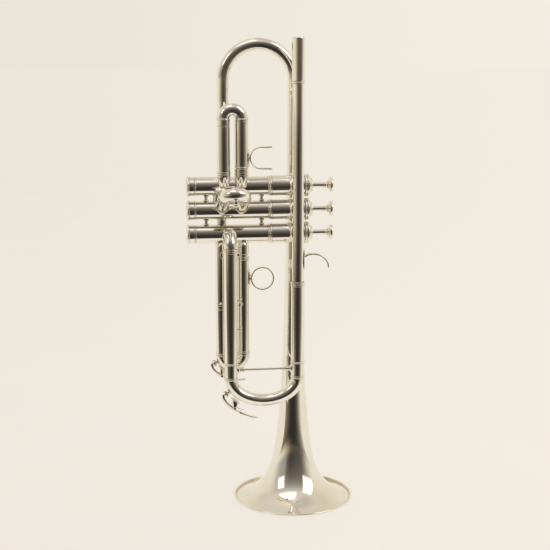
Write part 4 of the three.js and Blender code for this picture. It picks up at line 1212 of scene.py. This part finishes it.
def floor():
    """A pale floor that glows with the backdrop's colours, laid on it from one fixed place, CAMERA: painted
    light standing in for lit paper, over a dim grey base that takes real light and shadow.
    """
    half_width = 60000.0
    mesh = bpy.data.meshes.new("floor")
    corners = [(x * half_width, y * half_width, -0.02) for x, y in ((-1, -1), (1, -1), (1, 1), (-1, 1))]
    mesh.from_pydata(to_frame(corners).tolist(), [], [[0, 1, 2, 3]])
    look = Finish("floor")
    place = tuple(to_frame(CAMERA))
    ray = look.node("ShaderNodeVectorMath", {"operation": "SUBTRACT"}, {0: look.coordinates(), 1: place})
    ray = look.node("ShaderNodeVectorMath", {"operation": "NORMALIZE"}, {0: ray})
    colour = backdrop(look, ray)
    grain = look.noise(160, 5, 0.6)
    colour = look.mix(grain.between(0.3, 0.7) * 0.25, colour, (0.90, 0.835, 0.745, 1))
    # Painted light: most of the floor's brightness is its own glow, not lamp light.
    albedo = 0.3
    inputs = {"Base Color": (albedo, albedo, albedo, 1), "Roughness": 1.0, "Specular IOR Level": 0.0,
              "Emission Color": colour, "Emission Strength": 1 - albedo}
    mesh.materials.append(look.end(look.node("ShaderNodeBsdfPrincipled", {}, inputs)))
    added("floor", mesh)


def backdrop(look, ray):
    """The paper's colour and light by direction, a little brighter to the right and pinker below; on the
    floor it is painted light.
    """
    across = along(look, ray, TO_RIGHT).between(-0.3, 0.3)
    dim = tuple(0.955 * c for c in SKY)
    lit = tuple(1.05 * c for c in SKY)
    upper = look.mix(across, (*dim, 1), (*lit, 1))
    lower = look.mix(across, (0.87, 0.81, 0.74, 1), (0.93, 0.868, 0.782, 1))
    return look.mix(along(look, ray, UP).between(-0.08, -0.34), upper, lower)


PALE = (0.84, 0.79, 0.68)  # the paper, as the metal mirrors it
# Colours of the painted reflections by degrees above the horizon, towards the camera and at the sides.
FRONT = [(0, (0.036, 0.032, 0.034)), (3, (0.040, 0.036, 0.036)), (10, (0.070, 0.060, 0.055)),
         (20, (0.115, 0.092, 0.074)), (30, (0.175, 0.165, 0.14)), (40, (0.29, 0.275, 0.25)),
         (50, (0.50, 0.46, 0.44)), (58, (0.68, 0.62, 0.58)), (70, (0.74, 0.66, 0.61)),
         (80, (0.80, 0.72, 0.65)), (90, (0.93, 0.82, 0.75))]
SIDES = [(0, PALE), (30, (0.80, 0.735, 0.61)), (48, (0.69, 0.63, 0.51)),
         (60, (0.69, 0.64, 0.56)), (70, (0.76, 0.68, 0.60)), (80, (0.88, 0.78, 0.70)),
         (90, (0.93, 0.82, 0.75))]
# How much of the dark room shows in the painted reflections, by degrees to the right of the camera.
ROOM = [(-105, (0, 0, 0)), (-90, (0.14, 0.14, 0.14)), (-75, (0.42, 0.42, 0.42)), (-58, (0.6, 0.6, 0.6)),
        (-44, (0.62, 0.62, 0.62)), (-30, (0.92, 0.92, 0.92)), (-15, (1, 1, 1)), (30, (0.95, 0.95, 0.95)),
        (46, (0.92, 0.92, 0.92)), (60, (0.7, 0.7, 0.7)), (75, (0.35, 0.35, 0.35)), (95, (0, 0, 0))]
# The floor before the trumpet as its painted reflection shows it, near, farther off and at the horizon, by
# the same degrees.
NEAR = [(-150, PALE), (-118, (0.62, 0.55, 0.42)), (-100, (0.48, 0.40, 0.28)), (-79, (0.25, 0.21, 0.14)),
        (-58, (0.18, 0.14, 0.095)), (-40, (0.09, 0.07, 0.05)), (-22, (0.031, 0.028, 0.026)),
        (15, (0.031, 0.029, 0.027)), (30, (0.075, 0.068, 0.052)), (48, (0.18, 0.155, 0.12)),
        (67, (0.48, 0.44, 0.37)), (90, (0.78, 0.74, 0.62)), (115, PALE)]
FAR = [(-150, PALE), (-97, (0.62, 0.52, 0.36)), (-72, (0.56, 0.48, 0.33)), (-50, (0.44, 0.37, 0.26)),
       (-30, (0.20, 0.165, 0.11)), (-11, (0.050, 0.045, 0.035)), (7, (0.035, 0.031, 0.029)),
       (26, (0.060, 0.052, 0.044)), (46, (0.13, 0.105, 0.088)), (67, (0.28, 0.255, 0.225)),
       (91, (0.62, 0.59, 0.50)), (122, PALE)]
HORIZON = [(-110, PALE), (-79, (0.82, 0.77, 0.62)), (-57, (0.70, 0.64, 0.46)), (-37, (0.43, 0.37, 0.26)),
           (-18, (0.19, 0.15, 0.10)), (0, (0.10, 0.080, 0.055)), (19, (0.10, 0.080, 0.052)),
           (38, (0.12, 0.085, 0.065)), (58, (0.24, 0.175, 0.145)), (80, (0.56, 0.50, 0.43)), (107, PALE)]


# Soft boxes, painted highlights that only reflections see: degrees to the right (from, to), degrees up (from,
# to), soft edge in degrees, colour.
SOFT_BOX_HIGHLIGHTS = [(-69, -37, 20, 48, 5, (1.30, 1.29, 1.26)), (42, 90, 18, 60, 7, (1.6, 1.56, 1.50)),
              (-80, 26, 55, 86, 14, (1.28, 1.22, 1.20))]
DEGREES = 57.3
RING_INSIDE = 230
RING_OUTSIDE = 84000


def graded(look, stops, at):
    """Colour by a number, from (number, colour) stops."""
    low, high = stops[0][0], stops[-1][0]
    spread = [((place - low) / (high - low), (*colour, 1)) for place, colour in stops]
    return look.node("ShaderNodeValToRGB", {"stops": spread}, {"Fac": (at - low) / (high - low)})


def along(look, ray, direction):
    """How far a vector reaches in a direction."""
    settings = {"operation": "DOT_PRODUCT"}
    return look.node("ShaderNodeVectorMath", settings, {0: ray, 1: tuple(direction)}, output="Value")


def painted_floor_reflection():
    """A glowing ring just over the floor, seen only in the metal: a painted reflection of the dark room's
    floor before the trumpet.
    """
    sides = 72
    turns = round_the_axis(sides)
    rim = np.column_stack([np.cos(turns), np.sin(turns), 0 * turns])
    points = np.concatenate([rim * RING_INSIDE + UP, rim * RING_OUTSIDE + UP])
    faces = [[k, (k + 1) % sides, sides + (k + 1) % sides, sides + k] for k in range(sides)]
    mesh = bpy.data.meshes.new("painted_floor_reflection")
    mesh.from_pydata(to_frame(points).tolist(), [], faces)
    look = Finish("painted_floor_reflection")
    place = look.node("ShaderNodeVectorMath", {"operation": "SUBTRACT"}, {
        0: look.coordinates(), 1: tuple(BELL_FOOT)})
    forward, right = along(look, place, TO_CAMERA) * 1000, along(look, place, TO_RIGHT) * 1000
    distance = (forward * forward + right * right) ** 0.5
    turned = right.math("ARCTAN2", right, forward) * DEGREES
    narrowed = turned * (1 + distance.between(950, 350) * 0.6)
    colour = look.mix(distance.between(1000, 2300), graded(look, NEAR, narrowed), graded(look, FAR, turned))
    colour = look.mix(distance.between(4000, 12000), colour, graded(look, HORIZON, turned))
    colour = look.mix(forward.between(240, 320), (*PALE, 1), colour)
    # Painted reflection: the ring glows with these colours, and only glossy rays see it.
    mesh.materials.append(look.end(look.node("ShaderNodeEmission", {}, {"Color": colour})))
    card = added("painted_floor_reflection", mesh)
    for unseen_by in ("camera", "diffuse", "shadow", "transmission"):
        setattr(card, "visible_" + unseen_by, False)


def light():
    """Pale paper below, behind and at the sides; a dark room with soft boxes behind the camera, painted into
    reflections only: camera and diffuse rays see the plain paper.
    """
    world = bpy.data.worlds.new("studio")
    bpy.context.scene.world = world
    look = Finish("studio", world)
    ray = look.node("ShaderNodeTexCoord")
    seen = backdrop(look, ray)
    right = along(look, ray, TO_RIGHT)
    turned = right.math("ARCTAN2", right, along(look, ray, TO_CAMERA)) * DEGREES
    raised = right.math("ARCSINE", along(look, ray, UP)) * DEGREES
    studio = look.mix(graded(look, ROOM, turned), graded(look, SIDES, raised), graded(look, FRONT, raised))
    studio = look.mix(raised.between(0.2, 6.0), graded(look, HORIZON, turned), studio)
    studio = look.mix(turned.between(20, 90) * raised.between(55, 75) * 0.55, studio, (0.36, 0.33, 0.28, 1))
    for left, end, low, high, soft, colour in SOFT_BOX_HIGHLIGHTS:
        mask = turned.between(left, left + soft) * turned.between(end, end - soft)
        lift = min(soft, 8)
        mask = mask * raised.between(low, low + lift) * raised.between(high, high - lift)
        studio = look.mix(mask, studio, (*colour, 1))
    # Painted reflections: only glossy rays see the dark room and soft boxes.
    glossy = look.node("ShaderNodeLightPath", output="Is Glossy Ray")
    colour = look.mix(glossy, seen, studio)
    shade = look.node("ShaderNodeBackground", {}, {"Color": colour, "Strength": 1.0})
    look.node("ShaderNodeOutputWorld", {}, {"Surface": shade})
    painted_floor_reflection()


def camera():
    lens = bpy.data.cameras.new("camera")
    lens.sensor_width = 36
    lens.lens = LENS
    lens.clip_end = 200
    made = added("camera", lens)
    made.location = to_frame(CAMERA)
    made.rotation_euler = (math.pi / 2 - PITCH, 0, -FACING)
    bpy.context.scene.camera = made


def trumpet():
    bell()
    receiver()
    leadpipe()
    tuning_sleeves()
    tuning_elbow()
    for index in (0, 1, 2):
        valve_shells(index)
        piston(index)
        guide_and_spring(index)
    links_and_posts()
    first_fixed()
    first_crook()
    first_sleeve()
    thumb_saddle()
    second_sleeves()
    second_crook()
    third_fixed()
    third_crook()
    third_sleeve()
    stop_rod()
    finger_ring()
    tuning_crook()
    tuning_brace()
    water_keys()
    finger_hook()
    bell_braces()


trumpet()
floor()
light()
camera()
bpy.context.scene.view_settings.view_transform = "Standard"
